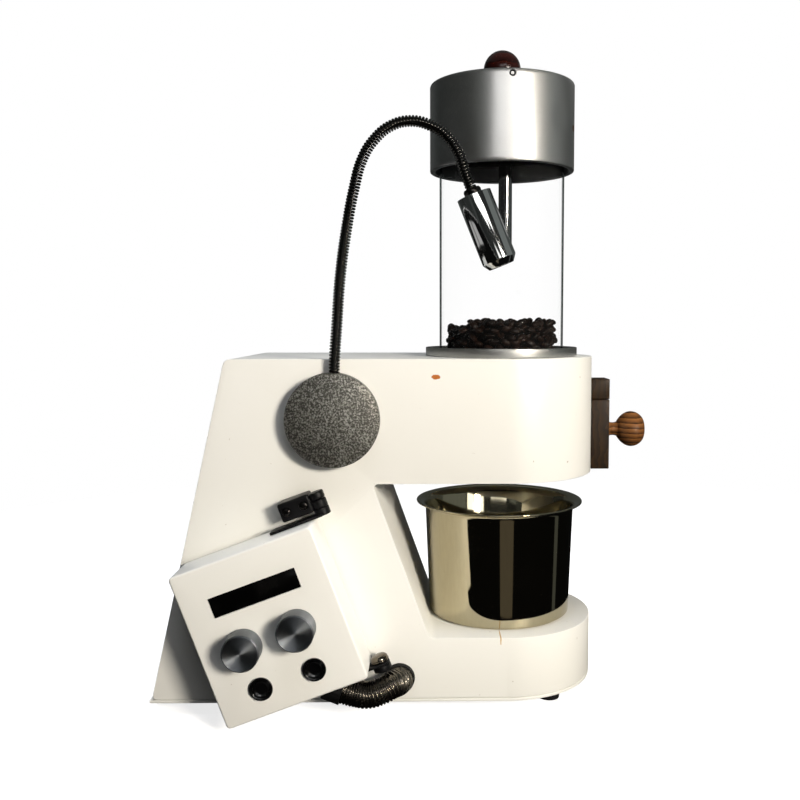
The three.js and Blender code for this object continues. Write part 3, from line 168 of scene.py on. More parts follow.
class Recipe:
    """A material's node tree, with the few moves that the finishes share."""

    def __init__(self, name: str) -> None:
        """Starts a material with one Principled shader on Object coordinates."""
        self.material = bpy.data.materials.new(name)
        self.material.use_nodes = True
        self.tree = self.material.node_tree
        self.tree.nodes.clear()
        self.shader = self.node("ShaderNodeBsdfPrincipled")
        self.node("ShaderNodeOutputMaterial", Surface=self.shader.outputs["BSDF"])
        self.place = self.node("ShaderNodeTexCoord").outputs["Object"]

    def node(self, kind: str, **values: object) -> bpy.types.Node:
        """Adds a node of a kind, and sets inputs of it, with underscores for spaces in their names."""
        node = self.tree.nodes.new(kind)
        for name, value in values.items():
            self.fill(node.inputs[name.replace("_", " ")], value)
        return node

    def link(self, source: Socket, target: Socket) -> None:
        """Joins two sockets."""
        self.tree.links.new(source, target)

    def fill(self, target: Socket, value: object) -> None:
        """Gives a socket a constant or the output of another node."""
        if isinstance(value, bpy.types.NodeSocket):
            self.link(value, target)
        else:
            target.default_value = value

    def set(self, **values: object) -> None:
        """Sets inputs of the shader, with underscores for spaces in their names."""
        for name, value in values.items():
            self.fill(self.shader.inputs[name.replace("_", " ")], value)

    def stretched(
        self, scale: Sequence[float], turn: Point3 = (0, 0, 0), at: Sequence[float] = (0, 0, 0)
    ) -> Socket:
        """Moves, turns and stretches the coordinates of a pattern."""
        moved = self.node("ShaderNodeVectorMath")
        moved.operation = "SUBTRACT"
        self.link(self.place, moved.inputs[0])
        moved.inputs[1].default_value = at
        mapping = self.node("ShaderNodeMapping", Vector=moved.outputs[0], Rotation=turn, Scale=scale)
        return mapping.outputs["Vector"]

    def noise(
        self, scale: float, detail: float = 3, rough: float = 0.5, where: Socket | None = None
    ) -> Socket:
        """Cloudy pattern of a scale in cells per metre."""
        place = where or self.place
        node = self.node("ShaderNodeTexNoise", Vector=place, Scale=scale, Detail=detail, Roughness=rough)
        return node.outputs["Fac"]

    def grains(self, scale: float, where: Socket | None = None) -> Socket:
        """Distance to the middle of the nearest grain."""
        return self.node("ShaderNodeTexVoronoi", Vector=where or self.place, Scale=scale).outputs["Distance"]

    def bands(self, scale: float, wander: float, where: Socket, axis: str = "Z") -> Socket:
        """Wandering bands across an axis, as growth rings are."""
        node = self.node(
            "ShaderNodeTexWave", Vector=where, Scale=scale, Distortion=wander, Detail=3, Detail_Scale=1.2
        )
        node.bands_direction = axis
        node.wave_profile = "SAW"
        return node.outputs["Fac"]

    def ramp(self, source: Socket, stops: Sequence[tuple[float, object]]) -> Socket:
        """Maps a value to colours or greys by stops."""
        node = self.node("ShaderNodeValToRGB", Fac=source)
        elements = node.color_ramp.elements
        while len(elements) < len(stops):
            elements.new(0.5)
        for element, (position, colour) in zip(elements, stops):
            element.position = position
            element.color = linear(colour) if isinstance(colour, str) else (colour, colour, colour, 1)
        return node.outputs["Color"]

    def mix(self, share: object, first: object, second: object) -> Socket:
        """Mixes two colours."""
        node = self.node("ShaderNodeMix")
        node.data_type = "RGBA"
        self.fill(node.inputs["Factor"], share)
        self.fill(node.inputs[6], first)
        self.fill(node.inputs[7], second)
        return node.outputs[2]

    def maths(self, operation: str, first: object, second: object) -> Socket:
        """The outcome of one operation on two values."""
        node = self.node("ShaderNodeMath")
        node.operation = operation
        self.fill(node.inputs[0], first)
        self.fill(node.inputs[1], second)
        return node.outputs[0]

    def spot(self, at: Sequence[float], scale: Sequence[float], turn: Point3 = (0, 0, 0)) -> Socket:
        """One soft spot that fades to nothing at a distance of 1 in stretched coordinates."""
        length = self.node("ShaderNodeVectorMath")
        length.operation = "LENGTH"
        self.link(self.stretched(scale, turn, at), length.inputs[0])
        far = length.outputs["Value"]
        return self.node("ShaderNodeMapRange", From_Min=1, From_Max=0, Value=far).outputs["Result"]

    def within(self, at: Sequence[float], scale: Sequence[float]) -> Socket:
        """A value of 1 up to a distance of 1 in stretched coordinates, and 0 past it."""
        return self.ramp(self.spot(at, scale), [(0.0, 0.0), (0.005, 1.0)])

    def ragged(self, spot: Socket, share: float) -> Socket:
        """A spot whose edge is torn by fine noise."""
        return self.maths("ADD", spot, self.maths("MULTIPLY", self.noise(900, 3), share))

    def bump(self, height: Socket, strength: float, depth: float, over: Socket | None = None) -> Socket:
        """Gives the shader a bump, over an earlier one if there is one."""
        node = self.node("ShaderNodeBump", Strength=strength, Distance=depth, Height=height)
        if over:
            self.link(over, node.inputs["Normal"])
        self.set(Normal=node.outputs["Normal"])
        return node.outputs["Normal"]


@dataclass(frozen=True)
class Finish:
    """A finish that pieces share. It is made once, when a piece first asks for it."""

    name: str
    slot: Slot

    def material(self) -> bpy.types.Material:
        """Returns the finish's material."""
        name = f"{self.name}_look"
        made = bpy.data.materials.get(name)
        if made is None:
            recipe = Recipe(name)
            self.mix_into(recipe)
            made = recipe.material
        return made

    def mix_into(self, recipe: Recipe) -> None:
        """Adds the finish's own nodes."""


@dataclass(frozen=True)
class PowderCoat(Finish):
    """Baked powder coat: slight orange peel, faint clouds and a little grime."""

    colour: str = "f1f1ed"
    shade: str = "eeeee8"
    grime: str = "8a7a62"
    roughness: float = 0.36
    marks: tuple[tuple[str, Vector, Vector, float], ...] = ()

    def mix_into(self, recipe: Recipe) -> None:
        """Adds the coat, its specks and the marks it has taken."""
        clouds = recipe.ramp(recipe.noise(9, 2), [(0.35, self.colour), (0.75, self.shade)])
        specks = recipe.ramp(recipe.noise(260, 2, 0.6), [(0.735, 0.0), (0.78, 0.5)])
        colour = recipe.mix(specks, clouds, linear(self.grime))
        for mark, at, scale, turn in self.marks:
            torn = recipe.ragged(recipe.spot(at, scale, (0, turn, 0)), 0.45)
            share = recipe.ramp(torn, [(0.42, 0.0), (0.52, 1.0)])
            colour = recipe.mix(share, colour, linear(mark))
        rough = recipe.ramp(recipe.noise(40, 3), [(0.3, self.roughness - 0.04), (0.7, self.roughness + 0.06)])
        recipe.set(Base_Color=colour, Roughness=rough, Specular_IOR_Level=0.3)
        recipe.bump(recipe.noise(650, 1), 0.12, 0.00012)


@dataclass(frozen=True)
class Metal(Finish):
    """Bare or plated metal, with its tool marks or grain, and painted shade in a hollow if it has one:
    near-black colour that stands in for the shade there.
    """

    colour: str = "c8c6c1"
    roughness: float = 0.3
    spread: float = 0.05
    grain: float = 1400
    depth: float = 0.00003
    stretch: tuple[float, float, float] = (1, 1, 1)
    around: str = ""
    clouds: float = 0.12
    stains: tuple[tuple[str, Vector, Vector], ...] = ()
    hollow_shade: tuple[Vector, float, float] | None = None

    def mix_into(self, recipe: Recipe) -> None:
        """Adds the metal, its grain and, on turned faces, its drawn-out gloss."""
        where = recipe.stretched(self.stretch)
        grain = recipe.noise(self.grain, 2, 0.6, where)
        tint = [c * (1 - self.clouds) for c in linear(self.colour)[:3]]
        colour = recipe.mix(recipe.ramp(grain, [(0.35, 0.0), (0.7, 1.0)]), (*tint, 1), linear(self.colour))
        for stain, at, scale in self.stains:
            torn = recipe.ragged(recipe.spot(at, scale), 0.4)
            colour = recipe.mix(recipe.ramp(torn, [(0.4, 0.0), (0.6, 1.0)]), colour, linear(stain))
        bright, dull = max(self.roughness - self.spread, 0.02), self.roughness + self.spread
        rough = recipe.ramp(recipe.noise(35, 4, 0.6), [(0.3, bright), (0.7, dull)])
        metallic = 1.0
        # Painted shade: near-black colour inside the hollow stands in for the shade there, and the metal
        # turns dull in it.
        if self.hollow_shade:
            middle, radius, half = self.hollow_shade
            inside = recipe.within(middle, (1 / radius, 1 / radius, 0))
            shaded = recipe.maths("MULTIPLY", inside, recipe.within(middle, (0, 0, 1 / half)))
            colour = recipe.mix(shaded, colour, linear(HOLLOW_SHADE_COLOUR))
            metallic = recipe.maths("SUBTRACT", 1.0, shaded)
        recipe.set(Base_Color=colour, Metallic=metallic, Roughness=rough)
        recipe.bump(grain, 0.25, self.depth)
        if self.around:
            tangent = recipe.node("ShaderNodeTangent")
            tangent.direction_type = "RADIAL"
            tangent.axis = self.around
            recipe.set(Tangent=tangent.outputs["Tangent"], Anisotropic=0.85, Anisotropic_Rotation=0.25)


@dataclass(frozen=True)
class Plastic(Finish):
    """Moulded or lacquered black parts, rubber and ceramic."""

    colour: str = "0b0b0c"
    roughness: float = 0.3
    grain: float = 1800
    depth: float = 0.00004
    coat: float = 0.0
    shine: float = 0.25

    def mix_into(self, recipe: Recipe) -> None:
        """Adds the moulded surface, with dust in its clouds."""
        base = linear(self.colour)
        dusty = [c + 0.004 for c in base[:3]]
        colour = recipe.mix(recipe.ramp(recipe.noise(60, 4), [(0.45, 0.0), (0.8, 1.0)]), base, (*dusty, 1))
        rough = recipe.ramp(recipe.noise(90, 4), [(0.3, self.roughness), (0.75, self.roughness + 0.1)])
        recipe.set(
            Base_Color=colour, Roughness=rough, Specular_IOR_Level=self.shine, Coat_Weight=self.coat,
            Coat_Roughness=0.05,
        )
        recipe.bump(recipe.noise(self.grain, 2), 0.2, self.depth)


@dataclass(frozen=True)
class Wood(Finish):
    """Oiled or lacquered wood with growth rings and pores."""

    dark: str = "2b1a10"
    light: str = "4b3220"
    ring_scale: float = 60
    wander: float = 5
    turn: tuple[float, float, float] = (0, 0, 0)
    pores: tuple[float, float, float] = (900, 900, 90)
    roughness: float = 0.42
    coat: float = 0.03

    def mix_into(self, recipe: Recipe) -> None:
        """Adds rings, pores along the grain and the oil's sheen."""
        rings = recipe.bands(self.ring_scale, self.wander, recipe.stretched((1, 1, 1), self.turn))
        streaks = recipe.noise(1, 4, 0.65, recipe.stretched(self.pores))
        ringed = recipe.maths("MULTIPLY", rings, 0.6)
        both = recipe.maths("ADD", ringed, recipe.maths("MULTIPLY", streaks, 0.5))
        colour = recipe.ramp(both, [(0.2, self.dark), (0.85, self.light)])
        rough = recipe.ramp(streaks, [(0.3, self.roughness + 0.12), (0.7, self.roughness)])
        recipe.set(
            Base_Color=colour, Roughness=rough, Specular_IOR_Level=0.2, Coat_Weight=self.coat,
            Coat_Roughness=0.12,
        )
        recipe.bump(streaks, 0.25, 0.00008)


@dataclass(frozen=True)
class Cast(Finish):
    """Rough-cast disc: a tight pattern of light and dark grains."""

    dark: str = "4a4945"
    light: str = "a5a39c"
    middle: Vector = Vector((0, 0, 0))
    reach: float = 0.04

    def mix_into(self, recipe: Recipe) -> None:
        """Adds worm-like grains at about a millimetre and a half, on a face that bulges slightly."""
        worms = recipe.noise(780, 2, 0.6)
        broad = recipe.noise(42, 3)
        both = recipe.maths("ADD", worms, recipe.maths("MULTIPLY", broad, 0.2))
        colour = recipe.ramp(both, [(0.52, self.dark), (0.63, "74726c"), (0.74, self.light)])
        recipe.set(Base_Color=colour, Roughness=0.45, Metallic=0.85)
        inward = recipe.spot(self.middle, (1 / self.reach, 0, 1 / self.reach))
        bulge = recipe.maths("MULTIPLY", inward, recipe.maths("SUBTRACT", 2.0, inward))
        recipe.bump(worms, 0.35, 0.0003, recipe.bump(bulge, 1.0, 0.003))


@dataclass(frozen=True)
class ClearGlass(Finish):
    """Thin clear glass whose edges are painted dark where one looks along the wall: a painted reflection of
    dark surroundings.
    """

    tint: str = "eef3f2"
    # Painted reflection: the dark colour that the glass takes where it is seen edge-on.
    edge: str = "0a1210"
    bore: tuple[Vector, float] | None = None

    def mix_into(self, recipe: Recipe) -> None:
        """Adds a see-through face, a painted dark edge for the reflection and faint painted highlight
        streaks, on a tube's outer face only.
        """
        along = recipe.node("ShaderNodeLayerWeight", Blend=0.5).outputs["Facing"]
        # Painted highlights: faint streaks where the glass turns a little more opaque and pale.
        drawn = recipe.noise(24, 3, 0.5, recipe.stretched((1, 1, 0.3)))
        streaks = recipe.ramp(drawn, [(0.4, 0.0), (0.9, 0.012)])
        # Painted reflection: dark colour and more opacity where one looks along the wall, for the dark
        # surroundings seen in the glass.
        colour = recipe.ramp(along, [(0.6, self.tint), (0.7, self.edge)])
        alpha = recipe.ramp(along, [(0.0, 0.004), (0.71, 0.02), (0.79, 0.85), (1.0, 0.97)])
        if self.bore:
            middle, radius = self.bore
            inside = recipe.spot(middle, (1 / radius, 1 / radius, 0))
            alpha = recipe.maths("MULTIPLY", alpha, recipe.ramp(inside, [(0.0, 1.0), (0.012, 0.02)]))
        recipe.set(
            Base_Color=colour, Roughness=0.03, Transmission_Weight=0.6,
            Alpha=recipe.maths("ADD", alpha, streaks),
        )


@dataclass(frozen=True)
class Board(Finish):
    """Circuit board: solder mask with tracks and pads."""

    def mix_into(self, recipe: Recipe) -> None:
        """Adds tracks along the board and tinned pads."""
        tracks = recipe.bands(130, 3, recipe.place, "X")
        pads = recipe.ramp(recipe.grains(240), [(0.12, 1.0), (0.16, 0.0)])
        mask = recipe.ramp(tracks, [(0.3, "12452a"), (0.42, "1d6a3d")])
        recipe.set(Base_Color=recipe.mix(pads, mask, linear("c9c3b4")), Roughness=0.35)
        recipe.bump(tracks, 0.2, 0.00005)


@dataclass(frozen=True)
class Roast(Finish):
    """Roasted coffee: dark brown with an oily sheen."""

    def mix_into(self, recipe: Recipe) -> None:
        """Adds uneven roast and wrinkles."""
        patches = recipe.ramp(recipe.noise(130, 3), [(0.35, "0a0503"), (0.7, "1e1009")])
        recipe.set(Base_Color=patches, Roughness=0.36, Specular_IOR_Level=0.25)
        recipe.bump(recipe.noise(700, 3, 0.6), 0.5, 0.0003)


CREAM = PowderCoat("cream_coat", Slot.CREAM)
# Painted shade: darker than the cap's satin, for the darker reflections on the seat ring's sides.
SATIN = Metal("satin_aluminium", Slot.SATIN_ALUMINIUM, "b5b4b0", 0.34, 0.04, 2600, 0.00002)
SPUN_DIAL = Metal("spun_dial", Slot.SATIN_ALUMINIUM, "8f9398", 0.43, 0.02, 2400, 0.00001, around="Y")
STEEL = Metal("plain_steel", Slot.STEEL, "b9b8b5", 0.3, 0.05, 900, 0.00002, (1, 1, 3))
# Painted shade: the steel chaff screen is coloured near-black for the shade inside the cap.
SHADED_SCREEN = Plastic("shade_painted_steel", Slot.STEEL, HOLLOW_SHADE_COLOUR, 0.5, shine=0.15)
# Painted reflection: the steel is tinted warm for the cream body reflected in the pot's wall.
POT_STEEL = Metal(
    "polished_steel", Slot.POT_STEEL, "b9b095", 0.06, 0.02, 420, 0.00001, (1, 1, 0.2), clouds=0.05
)
CHROME = Metal("bright_chrome", Slot.CHROME, "dcdcda", 0.06, 0.02, 700, 0.000004, clouds=0.03)
BLACK_CHROME = Metal("black_nickel", Slot.BLACK_CHROME, "3d3a38", 0.18, 0.05, 1200, 0.00001, clouds=0.3)
ROD_CHROME = Metal("rod_chrome", Slot.CHROME, "8c8c8a", 0.1, 0.02, 700, 0.000004, clouds=0.03)
NECK_CHROME = Metal("coil_chrome", Slot.BLACK_CHROME, "4c4a47", 0.06, 0.01, 1200, 0.000002, clouds=0.0)
HOSE = Metal("dark_hose", Slot.BLACK_CHROME, "7d776c", 0.26, 0.06, 900, 0.00001, clouds=0.3)
HINGE_BLACK = Plastic("hinge_enamel", Slot.BLACK_SATIN, "060607", 0.36, depth=0.00001, shine=0.2)
BLACK_OXIDE = Plastic("black_oxide", Slot.BLACK_CHROME, "080808", 0.35)
PIVOT_CHROME = Metal("smoky_chrome", Slot.CHROME, "6b6459", 0.16, 0.04, 700, 0.000004, clouds=0.05)
BLACK_GLOSS = Plastic("gloss_black", Slot.BLACK_GLOSS, "050506", 0.1, coat=0.8, shine=0.5)
DARK_WINDOW = Plastic("window_black", Slot.BLACK_GLOSS, "030303", 0.1, shine=0.1)
BLACK_PLASTIC = Plastic("moulded_black", Slot.BLACK_PLASTIC, "0e0e0f", 0.42)
RUBBER = Plastic("black_rubber", Slot.RUBBER, "0d0d0d", 0.6, 1200, 0.0001)
CERAMIC = Plastic("fired_ceramic", Slot.CERAMIC, "e0dac9", 0.75, 900, 0.0001)
MOTOR = Plastic("motor_paint", Slot.MOTOR_GREY, "4b4e52", 0.4)
GLASS = ClearGlass("clear_glass", Slot.GLASS)
RED_WOOD = Wood("red_lacquered_wood", Slot.RED_WOOD, "100302", "2c0c07", 40, 3, roughness=0.14, coat=0.3)
WALNUT = Wood("dark_walnut", Slot.WALNUT, "0f0702", "2a1a06", 55, 7, (0, QUARTER, 0), (700, 700, 60))
STRIPED_WOOD = Wood(
    "striped_wood", Slot.STRIPED_WOOD, "0a0401", "8a5a30", 75, 1.6, (0, 0, 0), (120, 700, 900)
)
BOARD = Board("circuit_board", Slot.BOARD_GREEN)
ROAST = Roast("roasted_beans", Slot.WALNUT)


def rounded(points: Sequence[Point2], reach: float, steps: int = 4, closed: bool = True) -> list[Point2]:
    """Rounds the corners of an outline.

    Args:
        points: the outline's corners.
        reach: how far a rounding runs along each side.
        steps: the number of short sides in each rounding.
        closed: whether the outline closes; if not, its two ends stay as they are.

    Returns:
        The outline's points.
    """
    made: list[Point2] = []
    count = len(points)
    for i, point in enumerate(points):
        if not closed and i in (0, count - 1):
            made.append(point)
            continue
        corner = Vector(point)
        before = Vector(points[i - 1]) - corner
        after = Vector(points[(i + 1) % count]) - corner
        limit = min(reach, before.length / 2, after.length / 2)
        start = corner + before.normalized() * limit
        end = corner + after.normalized() * limit
        for step in range(steps + 1):
            share = step / steps
            spot = start * (1 - share) ** 2 + corner * 2 * share * (1 - share) + end * share**2
            made.append((spot.x, spot.y))
    return made


def arc(middle: Point2, radius: float, start: float, end: float, steps: int) -> list[Point2]:
    """Points along an arc between two angles in radians."""
    angles = [start + (end - start) * i / steps for i in range(steps + 1)]
    return [(middle[0] + radius * math.cos(a), middle[1] + radius * math.sin(a)) for a in angles]


class Bench:
    """Modelling moves that every piece is made with."""

    @staticmethod
    def clear() -> None:
        """Leaves edit mode and deselects everything."""
        if bpy.context.object and bpy.context.object.mode != "OBJECT":
            bpy.ops.object.mode_set(mode="OBJECT")
        bpy.ops.object.select_all(action="DESELECT")

    @staticmethod
    def only(obj: Object) -> None:
        """Selects one object and makes it active."""
        Bench.clear()
        obj.select_set(True)
        bpy.context.view_layer.objects.active = obj

    @staticmethod
    def named(name: str) -> Object:
        """Names the primitive that was just added."""
        obj = bpy.context.object
        obj.name = obj.data.name = name
        return obj

    @staticmethod
    @contextmanager
    def editing(obj: Object) -> Iterator[None]:
        """Edit mode on one object, with all of it selected."""
        Bench.only(obj)
        bpy.ops.object.mode_set(mode="EDIT")
        bpy.ops.mesh.select_all(action="SELECT")
        yield
        bpy.ops.object.mode_set(mode="OBJECT")

    @staticmethod
    def choose(obj: Object, wanted: Callable[[Vector], bool]) -> None:
        """Selects the vertices of an object in edit mode whose places are wanted."""
        mesh = bmesh.from_edit_mesh(obj.data)
        bpy.ops.mesh.select_mode(type="VERT")
        for vertex in mesh.verts:
            vertex.select_set(wanted(vertex.co))
        mesh.select_flush_mode()
        bmesh.update_edit_mesh(obj.data)

    @staticmethod
    def tidy() -> None:
        """Merges doubles and points the faces of the edited mesh outwards."""
        bpy.ops.mesh.select_all(action="SELECT")
        bpy.ops.mesh.remove_doubles(threshold=WELD)
        bpy.ops.mesh.normals_make_consistent(inside=False)

    @staticmethod
    def settle(obj: Object, matrix: Matrix) -> Object:
        """Moves an object and leaves its place in its mesh."""
        Bench.only(obj)
        obj.matrix_world = matrix @ obj.matrix_world
        bpy.ops.object.transform_apply(location=True, rotation=True, scale=True)
        return obj

    @staticmethod
    def turned(name: str, profile: Sequence[Point2], sides: int = ROUND) -> Object:
        """A body turned about Z, raised ring by ring from a circle.

        Args:
            name: the object's name.
            profile: radius and height of each ring; one that ends where it starts makes a tube.
            sides: the number of sides round it.

        Returns:
            The turned object.
        """
        (radius, height), *rest = profile
        hollow = tuple(profile[0]) == tuple(profile[-1])
        Bench.clear()
        bpy.ops.mesh.primitive_circle_add(
            vertices=sides, radius=radius, fill_type="NOTHING" if hollow else "NGON", location=(0, 0, height)
        )
        obj = Bench.named(name)
        bpy.ops.object.transform_apply(location=True, rotation=True, scale=True)
        with Bench.editing(obj):
            for wide, high in rest:
                bpy.ops.mesh.extrude_region_move(TRANSFORM_OT_translate={"value": (0, 0, high - height)})
                if abs(wide - radius) > WELD:
                    share = wide / radius
                    bpy.ops.transform.resize(value=(share, share, 1), center_override=(0, 0, high))
                radius, height = wide, high
            Bench.tidy()
        return obj

    @staticmethod
    def plate(name: str, points: Sequence[Point2], low: float, high: float) -> Object:
        """A flat outline in X and Y, raised from one height to another."""
        Bench.clear()
        bpy.ops.mesh.primitive_circle_add(vertices=len(points), radius=1, fill_type="NGON")
        obj = Bench.named(name)
        for vertex, (x, y) in zip(obj.data.vertices, points):
            vertex.co = (x, y, low)
        with Bench.editing(obj):
            bpy.ops.mesh.extrude_region_move(TRANSFORM_OT_translate={"value": (0, 0, high - low)})
            Bench.tidy()
        return obj

    @staticmethod
    def block(
        name: str, low: Sequence[float], high: Sequence[float], edge: float = 0.0, steps: int = 3
    ) -> Object:
        """A block between two corners, with its edges rounded."""
        Bench.clear()
        middle = [(a + b) / 2 for a, b in zip(low, high)]
        sizes = [b - a for a, b in zip(low, high)]
        bpy.ops.mesh.primitive_cube_add(size=1, location=middle, scale=sizes)
        obj = Bench.named(name)
        bpy.ops.object.transform_apply(location=True, rotation=True, scale=True)
        if edge:
            with Bench.editing(obj):
                bpy.ops.mesh.bevel(offset=edge, segments=steps, affect="EDGES")
        return obj

    @staticmethod
    def rod(
        name: str, radius: float, start: Vector, end: Vector, sides: int = SMALL_ROUND, edge: float = 0.0
    ) -> Object:
        """A round bar between two points, with its end edges rounded."""
        run = end - start
        flat = radius - edge
        ends = [(flat, 0.0), (radius, edge), (radius, run.length - edge), (flat, run.length)]
        obj = Bench.turned(name, ends if edge else [(radius, 0.0), (radius, run.length)], sides)
        return Bench.settle(obj, Matrix.Translation(start) @ run.to_track_quat("Z", "Y").to_matrix().to_4x4())

    @staticmethod
    def copied(obj: Object, matrix: Matrix) -> Object:
        """A copy of a piece, with its own mesh, at another place."""
        copy = obj.copy()
        copy.data = obj.data.copy()
        copy.matrix_world = matrix
        bpy.context.scene.collection.objects.link(copy)
        return copy

    @staticmethod
    def apply(obj: Object, kind: str, **settings: object) -> Object:
        """Adds a modifier, sets it and applies it."""
        Bench.only(obj)
        modifier = obj.modifiers.new(kind.lower(), kind)
        for name, value in settings.items():
            setattr(modifier, name, value)
        bpy.ops.object.modifier_apply(modifier=modifier.name)
        return obj

    @staticmethod
    def bevelled(obj: Object, width: float, steps: int = 3, angle: float = 35) -> Object:
        """Rounds the edges that are sharper than an angle in degrees."""
        return Bench.apply(
            obj, "BEVEL", width=width, segments=steps, limit_method="ANGLE", angle_limit=math.radians(angle)
        )

    @staticmethod
    def combined(obj: Object, operation: str, *others: Object) -> Object:
        """Cuts other objects out of one, joins them to it or keeps what they share."""
        for other in others:
            Bench.apply(obj, "BOOLEAN", operation=operation, object=other, solver="EXACT")
            bpy.data.objects.remove(other)
        return obj

    @staticmethod
    def joined(name: str, pieces: Sequence[Object]) -> Object:
        """Makes one object of several that don't touch."""
        Bench.clear()
        for piece in pieces:
            piece.select_set(True)
        bpy.context.view_layer.objects.active = pieces[0]
        if len(pieces) > 1:
            bpy.ops.object.join()
        return Bench.named(name)

    @staticmethod
    def bent(obj: Object, route: Sequence[Vector], copies: int, pitch: float) -> Object:
        """Repeats a short stretch of hose along X and bends it along a route."""
        Bench.clear()
        curve = bpy.data.curves.new("route", "CURVE")
        curve.dimensions = "3D"
        curve.resolution_u = 24
        spline = curve.splines.new("BEZIER")
        spline.bezier_points.add(len(route) - 1)
        for point, spot in zip(spline.bezier_points, route):
            point.co = spot
            point.handle_left_type = point.handle_right_type = "AUTO"
        line = bpy.data.objects.new("route", curve)
        bpy.context.scene.collection.objects.link(line)
        bpy.context.view_layer.update()
        if copies > 1:
            Bench.apply(
                obj, "ARRAY", count=copies, use_relative_offset=False, use_constant_offset=True,
                constant_offset_displace=(pitch, 0, 0), use_merge_vertices=True, merge_threshold=WELD,
            )
        Bench.apply(obj, "CURVE", object=line, deform_axis="POS_X")
        bpy.data.objects.remove(line)
        bpy.data.curves.remove(curve)
        return obj

    @staticmethod
    def dress(obj: Object, finish: Finish, body: Body | None, *nodes: str, angle: float = 32) -> Object:
        """Smooths a piece, gives it its finish, its body and the nodes that it stands for."""
        Bench.only(obj)
        bpy.ops.object.shade_smooth_by_angle(angle=math.radians(angle))
        obj.data.materials.clear()
        obj.data.materials.append(finish.material())
        if body:
            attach(obj, body.value)
        if nodes:
            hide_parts(*nodes)
        LOG.info("%s: %d faces, %s", obj.name, len(obj.data.polygons), finish.name)
        return obj


def route_length(route: Sequence[Vector]) -> float:
    """Length of a route along its points."""
    return sum((b - a).length for a, b in zip(route, route[1:]))


